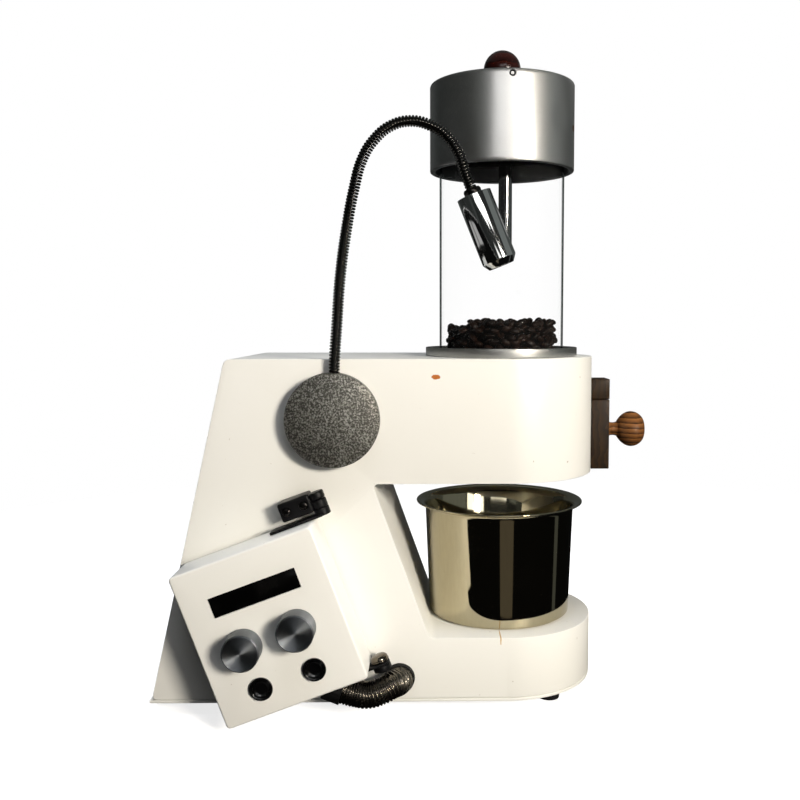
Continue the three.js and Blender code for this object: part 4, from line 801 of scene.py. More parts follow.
@dataclass
class Housing:
    """The C-shaped body on its bottom plate and feet, with the mains inlet on its back."""

    wall: float = 0.002
    edge: float = 0.0022
    corner: float = 0.005
    plate_edge: float = 0.0005
    base_height: float = 0.047
    opening_height: float = 0.1201
    left_reach_at_top: float = 0.2142
    inner_reach_at_top: float = 0.1033
    inner_reach_at_foot: float = 0.0598
    funnel_hole: float = 0.05
    spout_hole: float = 0.0203
    rod_hole: float = 0.0043
    grommet_lip: float = 0.0005
    vent_count: int = 8
    vent_length: float = 0.046
    vent_width: float = 0.004
    vent_pitch: float = 0.009
    vent_above_foot: float = 0.135
    slot_count: int = 5
    slot_length: float = 0.06
    slot_width: float = 0.004
    slot_pitch: float = 0.012
    slots_reach: float = 0.205
    foot_round: float = 0.0008
    inlet_half: Point2 = (0.0135, 0.01)
    inlet_edge: float = 0.0009
    inlet_overlap: float = 0.001
    mouth_half: Point2 = (0.011, 0.00725)
    mouth_shoulder: Point2 = (0.0075, 0.0035)
    mouth_corner: float = 0.0012
    mouth_depth: float = 0.018
    pin_half: Point2 = (0.001, 0.002)
    pin_spread: float = 0.007
    pin_rises: tuple[float, float, float] = (-0.001, 0.0015, -0.001)
    pin_tip: float = 0.004
    pin_edge: float = 0.0004
    chip_place: Point2 = (0.0227, 0.2607)
    drip_place: Point2 = (0.0726, 0.0603)

    def __post_init__(self) -> None:
        """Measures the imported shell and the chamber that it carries."""
        self.shell = Span.of("body_shell")
        self.axis = Span.of("glass_tube").middle
        self.half = self.shell.size.y / 2
        self.foot = self.shell.low.z
        self.top = self.shell.high.z
        self.base_top = self.foot + self.base_height
        self.arm_under = self.base_top + self.opening_height
        self.left_at_foot = self.shell.low.x - self.axis.x

    def left_at(self, height: float) -> float:
        """Place of the slanted left side at a height, from the chamber's axis."""
        rise = (height - self.foot) / (self.top - self.foot)
        return self.left_at_foot + rise * (-self.left_reach_at_top - self.left_at_foot)

    def side(self, margin: float, end: float) -> list[Point2]:
        """Outline of the C-shaped side, drawn in by a margin and open at the foot if it has one."""
        foot = self.foot - (OVERRUN if margin else 0)
        lean_in = (self.inner_reach_at_top - self.inner_reach_at_foot) / self.opening_height
        slant = margin * math.hypot(1, lean_in)
        inner_foot = -self.inner_reach_at_foot - slant + lean_in * margin
        inner_top = -self.inner_reach_at_top - slant - lean_in * margin
        rise = (self.top - self.foot) / (-self.left_reach_at_top - self.left_at_foot)
        left = margin * math.hypot(1, 1 / rise)
        low, high = self.base_top - margin, self.arm_under + margin
        return [
            (self.left_at(foot) + left, foot), (end, foot), (end, low), (inner_foot, low),
            (inner_top, high), (end, high), (end, self.top - margin),
            (self.left_at(self.top - margin) + left, self.top - margin),
        ]

    def plan(self, radius: float, left: float) -> list[Point2]:
        """Plan of the body: straight sides and a half-round end."""
        end = arc((0, 0), radius, -QUARTER, QUARTER, ROUND // 2)
        return [(left, -radius), *end, (left, radius)]

    def prism(self, name: str, points: Sequence[Point2], half: float) -> Object:
        """An outline in X and Z, run across the body."""
        obj = Bench.plate(name, points, -half, half)
        place = Matrix.Translation((self.axis.x, self.axis.y, 0))
        return Bench.settle(obj, place @ Matrix.Rotation(QUARTER, 4, "X"))

    def round_end(self, name: str, radius: float, left: float, low: float, high: float) -> Object:
        """The plan, raised between two heights."""
        obj = Bench.plate(name, self.plan(radius, left), low, high)
        return Bench.settle(obj, Matrix.Translation((self.axis.x, self.axis.y, 0)))

    def hole(self, radius: float, low: float, high: float) -> Object:
        """A round cutter on the chamber's axis."""
        start = Vector((self.axis.x, self.axis.y, low))
        return Bench.rod("cutter", radius, start, start + Vector((0, 0, high - low)), ROUND)

    def slits(self) -> list[Object]:
        """Cutters of the vents in the back, behind the blower."""
        middle = Span.of("blower_impeller").middle.x
        back = self.shell.high.y
        height = self.foot + self.vent_above_foot
        cutters = []
        for i in range(self.vent_count):
            x = middle + (i - (self.vent_count - 1) / 2) * self.vent_pitch
            low = (x - self.vent_width / 2, back - self.wall - OVERRUN, height - self.vent_length / 2)
            high = (x + self.vent_width / 2, back + OVERRUN, height + self.vent_length / 2)
            cutters.append(Bench.block("slit", low, high, self.vent_width / 2 - GAP, 4))
        return cutters

    def body(self) -> None:
        """The sheet-metal shell: outer form, hollow and openings."""
        end = self.half + OVERRUN
        far = self.left_at_foot - OVERRUN
        shell = self.prism("housing_shell", rounded(self.side(0, end), self.corner), self.half)
        outer_plan = self.round_end("plan", self.half, far, self.foot - OVERRUN, self.top + OVERRUN)
        Bench.combined(shell, "INTERSECT", outer_plan)
        Bench.bevelled(shell, self.edge, 4, 40)
        inner = self.prism("inner", self.side(self.wall, end + OVERRUN), self.half - self.wall)
        inner_plan = self.round_end("plan", self.half - self.wall, far, 0, self.top)
        Bench.combined(inner, "INTERSECT", inner_plan)
        grommet = Span.of("grommet")
        front = Vector((grommet.middle.x, self.shell.low.y, grommet.middle.z))
        through = Vector((0, OVERRUN, 0))
        gate = Span.of("gate_rod").middle
        end_face = Vector((self.axis.x + self.half, gate.y, gate.z))
        along = Vector((OVERRUN, 0, 0))
        inlet = Span.of("mains_inlet").middle
        wide, tall = (half + GAP for half in self.inlet_half)
        back = self.shell.high.y
        Bench.combined(
            shell, "DIFFERENCE", inner,
            self.hole(self.funnel_hole, self.top - OVERRUN, self.top + OVERRUN),
            self.hole(self.spout_hole, self.arm_under - OVERRUN, self.arm_under + OVERRUN),
            Bench.rod("cutter", grommet.size.x / 2 - self.grommet_lip, front - through, front + through),
            Bench.rod("cutter", self.rod_hole, end_face - along, end_face + along),
            Bench.block(
                "cutter", (inlet.x - wide, back - OVERRUN, inlet.z - tall),
                (inlet.x + wide, back + OVERRUN, inlet.z + tall),
            ),
            Bench.joined("slits", self.slits()),
        )
        chip = Vector((self.chip_place[0], self.shell.low.y, self.chip_place[1]))
        drip = Vector((self.drip_place[0], self.shell.low.y, self.drip_place[1]))
        coat = PowderCoat(
            "cream_housing", Slot.CREAM,
            marks=(
                ("b5651d", chip, Vector((230, 60, 420)), -0.7),
                ("c9a567", drip, Vector((1500, 40, 110)), 0.0),
            ),
        )
        Bench.dress(shell, coat, Body.HOUSING, "body_shell")

    def bottom(self) -> None:
        """The bottom plate with its cooling slots."""
        plate = Span.of("bottom_plate")
        obj = self.round_end("base_plate", self.half, plate.low.x - self.axis.x, plate.low.z, plate.high.z)
        Bench.bevelled(obj, self.plate_edge, 2, 60)
        cutters = []
        for i in range(self.slot_count):
            y = self.axis.y + (i - (self.slot_count - 1) / 2) * self.slot_pitch
            x = self.axis.x - self.slots_reach
            low = (x - self.slot_length / 2, y - self.slot_width / 2, plate.low.z - OVERRUN)
            high = (x + self.slot_length / 2, y + self.slot_width / 2, plate.high.z + OVERRUN)
            cutters.append(Bench.block("slot", low, high, self.slot_width / 2 - GAP, 4))
        Bench.combined(obj, "DIFFERENCE", Bench.joined("slots", cutters))
        Bench.dress(obj, CREAM, Body.HOUSING, "bottom_plate")

    def feet(self) -> None:
        """Four moulded rubber feet."""
        top = Span.of("bottom_plate").low.z - GAP
        for node in ("foot_left_front", "foot_left_back", "foot_right_front", "foot_right_back"):
            span = Span.of(node)
            wide = span.size.x / 2
            sole = [(wide * 0.78, 0), (wide * 0.86, 0)]
            side = [(wide, top * 0.92), (wide, top), (wide * 0.6, top)]
            profile = rounded([*sole, *side], self.foot_round, 3, False)
            foot = Bench.turned(f"rubber_{node}", profile, SMALL_ROUND)
            Bench.settle(foot, Matrix.Translation((span.middle.x, span.middle.y, 0)))
            Bench.dress(foot, RUBBER, Body.HOUSING, node)

    def inlet(self) -> None:
        """The mains inlet: a flanged housing with three pins in its socket."""
        span = Span.of("mains_inlet")
        back = self.shell.high.y + GAP
        middle = span.middle
        wide, tall = self.inlet_half
        flange = Bench.block("power_inlet", (span.low.x, back, span.low.z), span.high, self.inlet_edge)
        case = Bench.block(
            "case", (middle.x - wide, span.low.y, middle.z - tall),
            (middle.x + wide, back + self.inlet_overlap, middle.z + tall),
        )
        Bench.combined(flange, "UNION", case)
        wide, tall = self.mouth_half
        shoulder, rise = self.mouth_shoulder
        right = [(wide, -tall), (wide, rise), (shoulder, tall)]
        outline = rounded([*right, *((-x, y) for x, y in reversed(right))], self.mouth_corner)
        mouth = Bench.plate("mouth", outline, -OVERRUN, self.mouth_depth)
        face = Matrix.Translation((middle.x, span.high.y, middle.z))
        Bench.settle(mouth, face @ Matrix.Rotation(QUARTER, 4, "X"))
        Bench.combined(flange, "DIFFERENCE", mouth)
        Bench.dress(flange, BLACK_PLASTIC, Body.HOUSING, "mains_inlet")
        pins = []
        wide, tall = self.pin_half
        for side, rise in zip((-1, 0, 1), self.pin_rises):
            x = middle.x + side * self.pin_spread
            z = middle.z + rise
            root = (x - wide, span.high.y - self.mouth_depth, z - tall)
            tip = (x + wide, span.high.y - self.pin_tip, z + tall)
            pins.append(Bench.block("pin", root, tip, self.pin_edge))
        Bench.dress(Bench.joined("inlet_pins", pins), STEEL, Body.HOUSING)

    def build(self) -> None:
        """Makes the housing's pieces."""
        self.body()
        self.bottom()
        self.feet()
        self.inlet()


@dataclass
class Chamber:
    """The glass chamber on its ring, the funnel under it and the beans in it."""

    glass_wall: float = 0.0025
    glass_round: float = 0.0009
    ring_bore: float = 0.057
    ring_edge: float = 0.0007
    seal_round: float = 0.0008
    collar_depth: float = 0.004
    throat_radius: float = 0.0185
    throat_length: float = 0.005
    funnel_wall: float = 0.0015
    collar_radius: float = 0.0497
    bean_length: float = 0.0098
    bean_width: float = 0.0068
    bean_height: float = 0.0046
    bean_pitch: float = 0.0083
    crease_half: Point2 = (0.0042, 0.0009)
    crease_skin: float = 0.0002
    crease_depth: float = 0.0011
    pile_height: float = 0.031
    pile_sink: float = 0.0035
    pile_stray: float = 0.0008
    pile_lift: float = 0.0018
    seed: int = 11

    def __post_init__(self) -> None:
        """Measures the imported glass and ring."""
        self.glass = Span.of("glass_tube")
        self.ring = Span.of("chamber_ring")
        self.funnel = Span.of("bean_funnel")
        self.at = Matrix.Translation((self.glass.middle.x, self.glass.middle.y, 0))

    def turned(self, name: str, profile: Sequence[Point2], finish: Finish, *nodes: str) -> Object:
        """Turns a piece of the chamber and dresses it."""
        obj = Bench.settle(Bench.turned(name, profile), self.at)
        return Bench.dress(obj, finish, Body.HOUSING, *nodes)

    def tube(self) -> None:
        """The glass tube, fire-polished at its ends."""
        wide = self.glass.size.x / 2
        low, high = self.glass.low.z, self.glass.high.z
        corners = [(wide - self.glass_wall, low), (wide, low), (wide, high), (wide - self.glass_wall, high)]
        outline = rounded(corners, self.glass_round, 4)
        middle = Vector((self.glass.middle.x, self.glass.middle.y, 0))
        glass = ClearGlass("tube_glass", Slot.GLASS, bore=(middle, wide - self.glass_wall / 3))
        self.turned("glass_cylinder", [*outline, outline[0]], glass, "glass_tube")

    def seat(self) -> None:
        """The turned ring, the seal and the funnel."""
        wide = self.ring.size.x / 2
        low, high = self.ring.low.z, self.ring.high.z
        bore = self.ring_bore
        ring = rounded([(bore, low), (wide, low), (wide, high), (bore, high)], self.ring_edge, 3)
        self.turned("seat_ring", [*ring, ring[0]], SATIN, "chamber_ring")
        seal = Span.of("chamber_seal")
        low, high = seal.low.z, seal.high.z
        inner, outer = self.glass.size.x / 2 + GAP, bore - GAP
        lip = rounded([(inner, low), (outer, low), (outer, high), (inner, high)], self.seal_round, 3)
        self.turned("seal_ring", [*lip, lip[0]], RUBBER, "chamber_seal")
        top = self.funnel.high.z
        foot = self.funnel.low.z
        thick = self.funnel_wall
        collar = self.collar_radius
        flange = self.funnel.size.x / 2
        cone = top - thick - GAP - self.collar_depth
        throat = foot + self.throat_length
        spout = self.throat_radius
        outline = [
            (collar - thick, top), (collar - thick, cone), (spout, throat), (spout, foot),
            (spout + thick, foot), (spout + thick, throat), (collar, cone),
            (collar, top - thick), (flange, top - thick), (flange, top), (collar - thick, top),
        ]
        self.turned("steel_funnel", outline, STEEL, "bean_funnel")

    def bean(self) -> Object:
        """One roasted bean, flat on one side with a crease along it."""
        Bench.clear()
        bpy.ops.mesh.primitive_uv_sphere_add(segments=14, ring_count=10, radius=0.5)
        bean = Bench.named("bean")
        with Bench.editing(bean):
            bpy.ops.transform.resize(value=(self.bean_length, self.bean_width, self.bean_height * 1.5))
            Bench.choose(bean, lambda co: co.z < 0)
            bpy.ops.transform.resize(value=(1, 1, 0.3), center_override=(0, 0, 0))
            long, wide = self.crease_half
            skin = -self.crease_skin
            Bench.choose(bean, lambda co: co.z < skin and abs(co.y) < wide and abs(co.x) < long)
            bpy.ops.transform.translate(value=(0, 0, self.crease_depth))
        return bean

    def beans(self) -> None:
        """A heap of beans in the foot of the glass, layer on layer."""
        draw = Random(self.seed)
        pattern = self.bean()
        reach = self.glass.size.x / 2 - self.glass_wall - 0.62 * self.bean_width
        floor = self.glass.low.z - self.pile_sink
        thick = self.bean_height * 1.1
        rows = int(2 * reach / self.bean_pitch) + 2
        pieces = []
        for layer in range(int(self.pile_height / thick)):
            for row in range(-rows, rows + 1):
                for column in range(-rows, rows + 1):
                    x = (column + 0.5 * ((row + layer) % 2)) * self.bean_pitch
                    y = (row + 0.33 * (layer % 2)) * self.bean_pitch * 0.87
                    far = math.hypot(x, y)
                    heap = 1 + 0.16 * math.sin(1.7 * x / reach) + 0.05 * math.sin(7 * y / reach)
                    top = self.pile_height * heap
                    height = (layer + 0.5) * thick
                    deep = far < 0.6 * reach and height < top - 3 * self.bean_height
                    if far > reach or height > top or deep:
                        continue
                    size = draw.uniform(0.86, 1.04)
                    across = x + draw.uniform(-1, 1) * self.pile_stray
                    back = y + draw.uniform(-1, 1) * self.pile_stray
                    up = floor + height + draw.uniform(-1, 1) * self.pile_lift
                    edging = far > reach - self.bean_width / 2
                    heading = math.atan2(y, x) + QUARTER + draw.uniform(-0.2, 0.2)
                    turn = Matrix.Rotation(heading if edging else draw.uniform(0, 2 * math.pi), 4, "Z")
                    roll = Matrix.Rotation(draw.choice((0, math.pi)) + draw.uniform(-0.5, 0.5), 4, "X")
                    tip = Matrix.Rotation(draw.uniform(-0.8, 0.8), 4, "Y")
                    grown = Matrix.Diagonal((size, size, size, 1))
                    place = self.at @ Matrix.Translation((across, back, up))
                    pieces.append(Bench.copied(pattern, place @ turn @ tip @ roll @ grown))
        bpy.data.objects.remove(pattern)
        bpy.context.view_layer.update()
        heap = Bench.joined("coffee_beans", pieces)
        Bench.settle(heap, Matrix.Identity(4))
        Bench.dress(heap, ROAST, Body.HOUSING, angle=60)

    def build(self) -> None:
        """Makes the chamber's pieces."""
        self.seat()
        self.beans()
        self.tube()


@dataclass
class Cap:
    """The lift-off cap with its ball knob, hanging rod, screen and set screw."""

    wall: float = 0.0045
    roof: float = 0.005
    edge: float = 0.0009
    rings: int = 28
    dent_angle: float = -43
    dent_share: float = 0.53
    dent_depth: float = 0.0009
    dent_middle: float = 0.003
    dent_reach: float = 0.011
    ball_sink: float = 0.0014
    rod_radius: float = 0.0056
    rod_round: float = 0.0012
    rod_offset: float = 0.003
    flange_radius: float = 0.012
    flange_bore: float = 0.004
    flange_height: float = 0.003
    flange_round: float = 0.0005
    stud_radius: float = 0.003
    screw_angle: float = -86.7
    screw_drop: float = 0.0037
    screw_radius: float = 0.0024
    screw_length: float = 0.003
    screw_sink: float = 0.0006
    screw_play: float = 0.0004
    socket_radius: float = 0.0015
    socket_depth: float = 0.0016
    floor_radius: float = 0.0013
    floor_play: float = 0.0001
    floor_height: float = 0.0011
    shade_edge: float = 0.0004
    stain_angle: float = -19
    stain_share: float = 0.47
    stain_scale: Point3 = (200, 200, 260)
    screen_radius: float = 0.045
    screen_wall: float = 0.0015
    screen_flange: float = 0.002
    screen_slots: int = 12
    slot_margin: float = 0.007
    slot_half: float = 0.004
    slot_round: float = 0.0025

    def __post_init__(self) -> None:
        """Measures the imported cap."""
        self.shell = Span.of("cap_shell")
        self.wide = self.shell.size.x / 2
        self.at = Matrix.Translation((self.shell.middle.x, self.shell.middle.y, 0))
        self.roof_under = self.shell.high.z - self.roof
        self.screw_height = self.shell.high.z - self.screw_drop
        self.screw_deep = self.wide - self.screw_sink - self.screw_length

    def out(self, angle: float, distance: float, height: float) -> Vector:
        """A point at an angle round the cap's axis, in degrees."""
        turn = math.radians(angle)
        return Vector((distance * math.cos(turn), distance * math.sin(turn), height))

    def drum(self) -> None:
        """The thick satin drum, with a small dent on its right side."""
        low, high, wide, edge = self.shell.low.z, self.shell.high.z, self.wide, self.edge
        bore = wide - self.wall
        curl = 0.3 * edge
        run = high - low - 2 * edge
        foot = [
            (bore, low + edge), (bore + curl, low + curl), (bore + edge, low), (wide - edge, low),
            (wide - curl, low + curl),
        ]
        side = [(wide, low + edge + run * i / self.rings) for i in range(self.rings + 1)]
        head = [(wide - curl, high - curl), (wide - edge, high)]
        drum = Bench.turned("cap_drum", [(bore, self.roof_under), *foot, *side, *head], FINE_ROUND)
        middle = self.out(self.dent_angle, wide, low + (high - low) * self.dent_share)
        inward = Vector((middle.x, middle.y, 0)).normalized() * -1
        with Bench.editing(drum):
            Bench.choose(drum, lambda co: (co - middle).length < self.dent_middle)
            bpy.ops.transform.translate(
                value=inward * self.dent_depth, use_proportional_edit=True,
                proportional_edit_falloff="SMOOTH", proportional_size=self.dent_reach,
                use_proportional_connected=True,
            )
        start = self.out(self.screw_angle, self.screw_deep - GAP, self.screw_height)
        end = self.out(self.screw_angle, wide + OVERRUN, self.screw_height)
        hole = Bench.rod("cutter", self.screw_radius + self.screw_play, start, end)
        Bench.combined(drum, "DIFFERENCE", hole)
        Bench.settle(drum, self.at)
        stain = self.at @ self.out(self.stain_angle, wide, low + (high - low) * self.stain_share)
        hollow = self.at @ Vector((0, 0, (self.roof_under + low) / 2))
        # Painted shade: the hollow under the roof is coloured near-black for the shade inside the cap.
        satin = Metal(
            "satin_cap", Slot.SATIN_ALUMINIUM, "cdccca", 0.32, 0.02, 3000, 0.00001,
            stains=(("9a6a2c", stain, Vector(self.stain_scale)),),
            hollow_shade=(hollow, bore + self.shade_edge, (self.roof_under - low) / 2 + self.shade_edge),
        )
        Bench.dress(drum, satin, Body.CAP, "cap_shell")

    def screw(self) -> None:
        """The set screw with its hexagon socket and the pale floor of the socket."""
        start = self.out(self.screw_angle, self.screw_deep, self.screw_height)
        end = self.out(self.screw_angle, self.wide - self.screw_sink, self.screw_height)
        way = (end - start).normalized()
        screw = Bench.rod("hex_set_screw", self.screw_radius, start, end, TINY_ROUND, GAP)
        bottom = end - way * self.socket_depth
        socket = Bench.rod("cutter", self.socket_radius, bottom, end + way * OVERRUN, HEXAGON)
        Bench.combined(screw, "DIFFERENCE", socket)
        Bench.settle(screw, self.at)
        Bench.dress(screw, BLACK_OXIDE, Body.CAP, "cap_set_screw")
        foot = bottom + way * self.floor_play
        floor = Bench.rod("socket_floor", self.floor_radius, foot, foot + way * self.floor_height, HEXAGON)
        Bench.settle(floor, self.at)
        Bench.dress(floor, STEEL, Body.CAP)

    def rod(self) -> None:
        """The polished rod that hangs in the chamber, with its flange and stud."""
        span = Span.of("centre_rod")
        top = self.roof_under - GAP
        under = top - self.flange_height
        radius, stud = self.rod_radius, self.stud_radius
        hang = [(radius * 0.4, span.low.z), (radius, span.low.z), (radius, under)]
        rod = Bench.turned("hanging_rod", rounded(hang, self.rod_round, 4, False), SMALL_ROUND)
        Bench.settle(rod, Matrix.Translation((self.rod_offset, 0, 0)))
        outline = [
            (self.flange_bore, under), (self.flange_radius, under), (self.flange_radius, top), (stud, top),
            (stud, span.high.z),
        ]
        flange = Bench.turned("flange", rounded(outline, self.flange_round, 3, False), SMALL_ROUND)
        Bench.combined(rod, "UNION", flange)
        Bench.settle(rod, self.at)
        Bench.dress(rod, ROD_CHROME, Body.CAP, "centre_rod")

    def ball(self) -> None:
        """The lacquered ball knob, flat where it stands."""
        span = Span.of("ball_knob")
        radius = span.size.x / 2
        middle = span.high.z - radius
        cut = math.acos((radius - self.ball_sink) / radius)
        curve = arc((0, middle), radius, cut - QUARTER, QUARTER, 40)
        ball = Bench.turned("wooden_ball", curve, BALL_ROUND)
        Bench.settle(ball, self.at)
        Bench.dress(ball, RED_WOOD, Body.CAP, "ball_knob", angle=50)

    def screen(self) -> None:
        """The slotted chaff screen under the cap."""
        span = Span.of("chaff_screen")
        outer, bore = self.screen_radius, self.screen_radius - self.screen_wall
        flange = span.size.x / 2
        low, ledge, high = span.low.z, span.low.z + self.screen_flange, span.high.z
        outline = [(bore, low), (flange, low), (flange, ledge), (outer, ledge), (outer, high), (bore, high)]
        screen = Bench.turned("slotted_screen", [*outline, outline[0]])
        middle, half = span.middle.z, span.size.z / 2 - self.slot_margin
        reach, wide = outer + OVERRUN, self.slot_half
        cutters = []
        for i in range(self.screen_slots // 2):
            ends = (-reach, -wide, middle - half), (reach, wide, middle + half)
            slot = Bench.block("slot", *ends, self.slot_round)
            cutters.append(Bench.settle(slot, Matrix.Rotation(2 * math.pi * i / self.screen_slots, 4, "Z")))
        Bench.combined(screen, "DIFFERENCE", *cutters)
        Bench.settle(screen, self.at)
        # The screen is coloured near-black: painted shade inside the cap.
        Bench.dress(screen, SHADED_SCREEN, Body.CAP, "chaff_screen")

    def build(self) -> None:
        """Makes the cap's pieces."""
        self.drum()
        self.screw()
        self.rod()
        self.ball()
        self.screen()


@dataclass
class Gate:
    """The wooden block on the round end and the knob that pulls the gate."""

    edge: float = 0.0008
    inner_reach: float = 0.04
    rod_hole: float = 0.0043
    neck_radius: float = 0.0062
    neck_length: float = 0.008
    neck_bore: float = 0.0046
    neck_collar: float = 0.0008
    neck_waist: Point2 = (0.002, 0.0058)
    knob_round: float = 0.0016

    def __post_init__(self) -> None:
        """Measures the housing's round end."""
        self.axis = Span.of("glass_tube").middle
        self.radius = Span.of("body_shell").size.y / 2 + GAP

    def blocks(self) -> None:
        """Both pieces of the block, hollowed to sit on the round end."""
        for node, name in (("wood_block_lower", "walnut_block"), ("wood_block_upper", "walnut_top")):
            span = Span.of(node)
            low = (self.axis.x + self.inner_reach, span.low.y, span.low.z)
            block = Bench.block(name, low, span.high, self.edge)
            foot = Vector((self.axis.x, self.axis.y, span.low.z - OVERRUN))
            head = Vector((self.axis.x, self.axis.y, span.high.z + OVERRUN))
            cutter = Bench.rod("cutter", self.radius, foot, head, ROUND)
            rod = Span.of("gate_rod").middle
            near, far = Vector((self.axis.x, rod.y, rod.z)), Vector((span.high.x + OVERRUN, rod.y, rod.z))
            bore = Bench.rod("cutter", self.rod_hole, near, far)
            Bench.combined(block, "DIFFERENCE", cutter, bore)
            Bench.dress(block, WALNUT, Body.HOUSING, node)

    def knob(self) -> None:
        """The turned knob, its growth rings lying flat."""
        span = Span.of("gate_knob")
        wide = span.size.z / 2
        long = span.size.x - self.neck_length
        shares = [
            (0.02, 0.5), (0.12, 0.7), (0.26, 0.88), (0.42, 0.985), (0.55, 1.0), (0.7, 0.955), (0.84, 0.83),
            (0.94, 0.66), (0.985, 0.5), (1.0, 0.3),
        ]
        slim = self.neck_radius
        start, stop = self.neck_waist
        neck = [
            (self.neck_bore, 0.0), (slim * 1.12, 0.0), (slim * 1.1, self.neck_collar), (slim * 0.88, start),
            (slim * 0.86, stop), (slim, self.neck_length),
        ]
        bulb = [(out * wide, self.neck_length + along * long) for along, out in shares]
        profile = rounded([*neck, *bulb], self.knob_round, 3, False)
        knob = Bench.turned("turned_knob", profile, BALL_ROUND)
        place = Matrix.Translation((span.low.x, span.middle.y, span.middle.z))
        Bench.settle(knob, place @ Matrix.Rotation(QUARTER, 4, "Y"))
        Bench.dress(knob, STRIPED_WOOD, Body.GATE, "gate_knob", angle=60)

    def build(self) -> None:
        """Makes the wooden pieces."""
        self.blocks()
        self.knob()


@dataclass
class Pot:
    """The polished pot with its flared lip."""

    wall: float = 0.0014
    bottom_radius: float = 0.0586
    top_radius: float = 0.062
    corner: float = 0.006
    flare_height: float = 0.0062
    flare: tuple[Point2, ...] = ((0.0002, 0.0052), (0.0009, 0.0038), (0.0026, 0.0025), (0.0054, 0.0017))
    lip_place: Point2 = (0.0006, 0.0008)
    lip_radius: float = 0.0007
    foot_step: float = 0.0012
    sole_radius: float = 0.01

    def build(self) -> None:
        """Turns the pot's wall, outside and inside."""
        span = Span.of("bean_pot")
        rim = span.size.x / 2
        low, high = span.low.z, span.high.z
        ring = self.bottom_radius - 2.4 * self.foot_step
        sole = low + self.foot_step
        wall_top = high - self.flare_height
        corners = [(ring, sole), (self.bottom_radius, sole), (self.top_radius, wall_top)]
        bend = rounded(corners, self.corner - 2 * self.foot_step, 8, False)
        flare = [(self.top_radius + out, high - down) for out, down in self.flare]
        inset, drop = self.lip_place
        lip = arc((rim - inset, high - drop), self.lip_radius, -QUARTER, QUARTER, 6)
        outside = [(self.sole_radius, low), (ring, low), *bend, *flare, *lip]
        back = [(r - 0.4 * self.wall, h + 0.85 * self.wall) for r, h in reversed(flare)]
        hollow = [
            (self.top_radius - self.wall, wall_top), (self.bottom_radius - self.wall, low + self.wall),
            (self.sole_radius, low + self.wall),
        ]
        inside = rounded(hollow, self.corner - self.wall, 8, False)
        pot = Bench.turned("steel_pot", [*outside, *back, *inside], FINE_ROUND)
        Bench.settle(pot, Matrix.Translation((span.middle.x, span.middle.y, 0)))
        Bench.dress(pot, POT_STEEL, Body.POT, "bean_pot", angle=50)


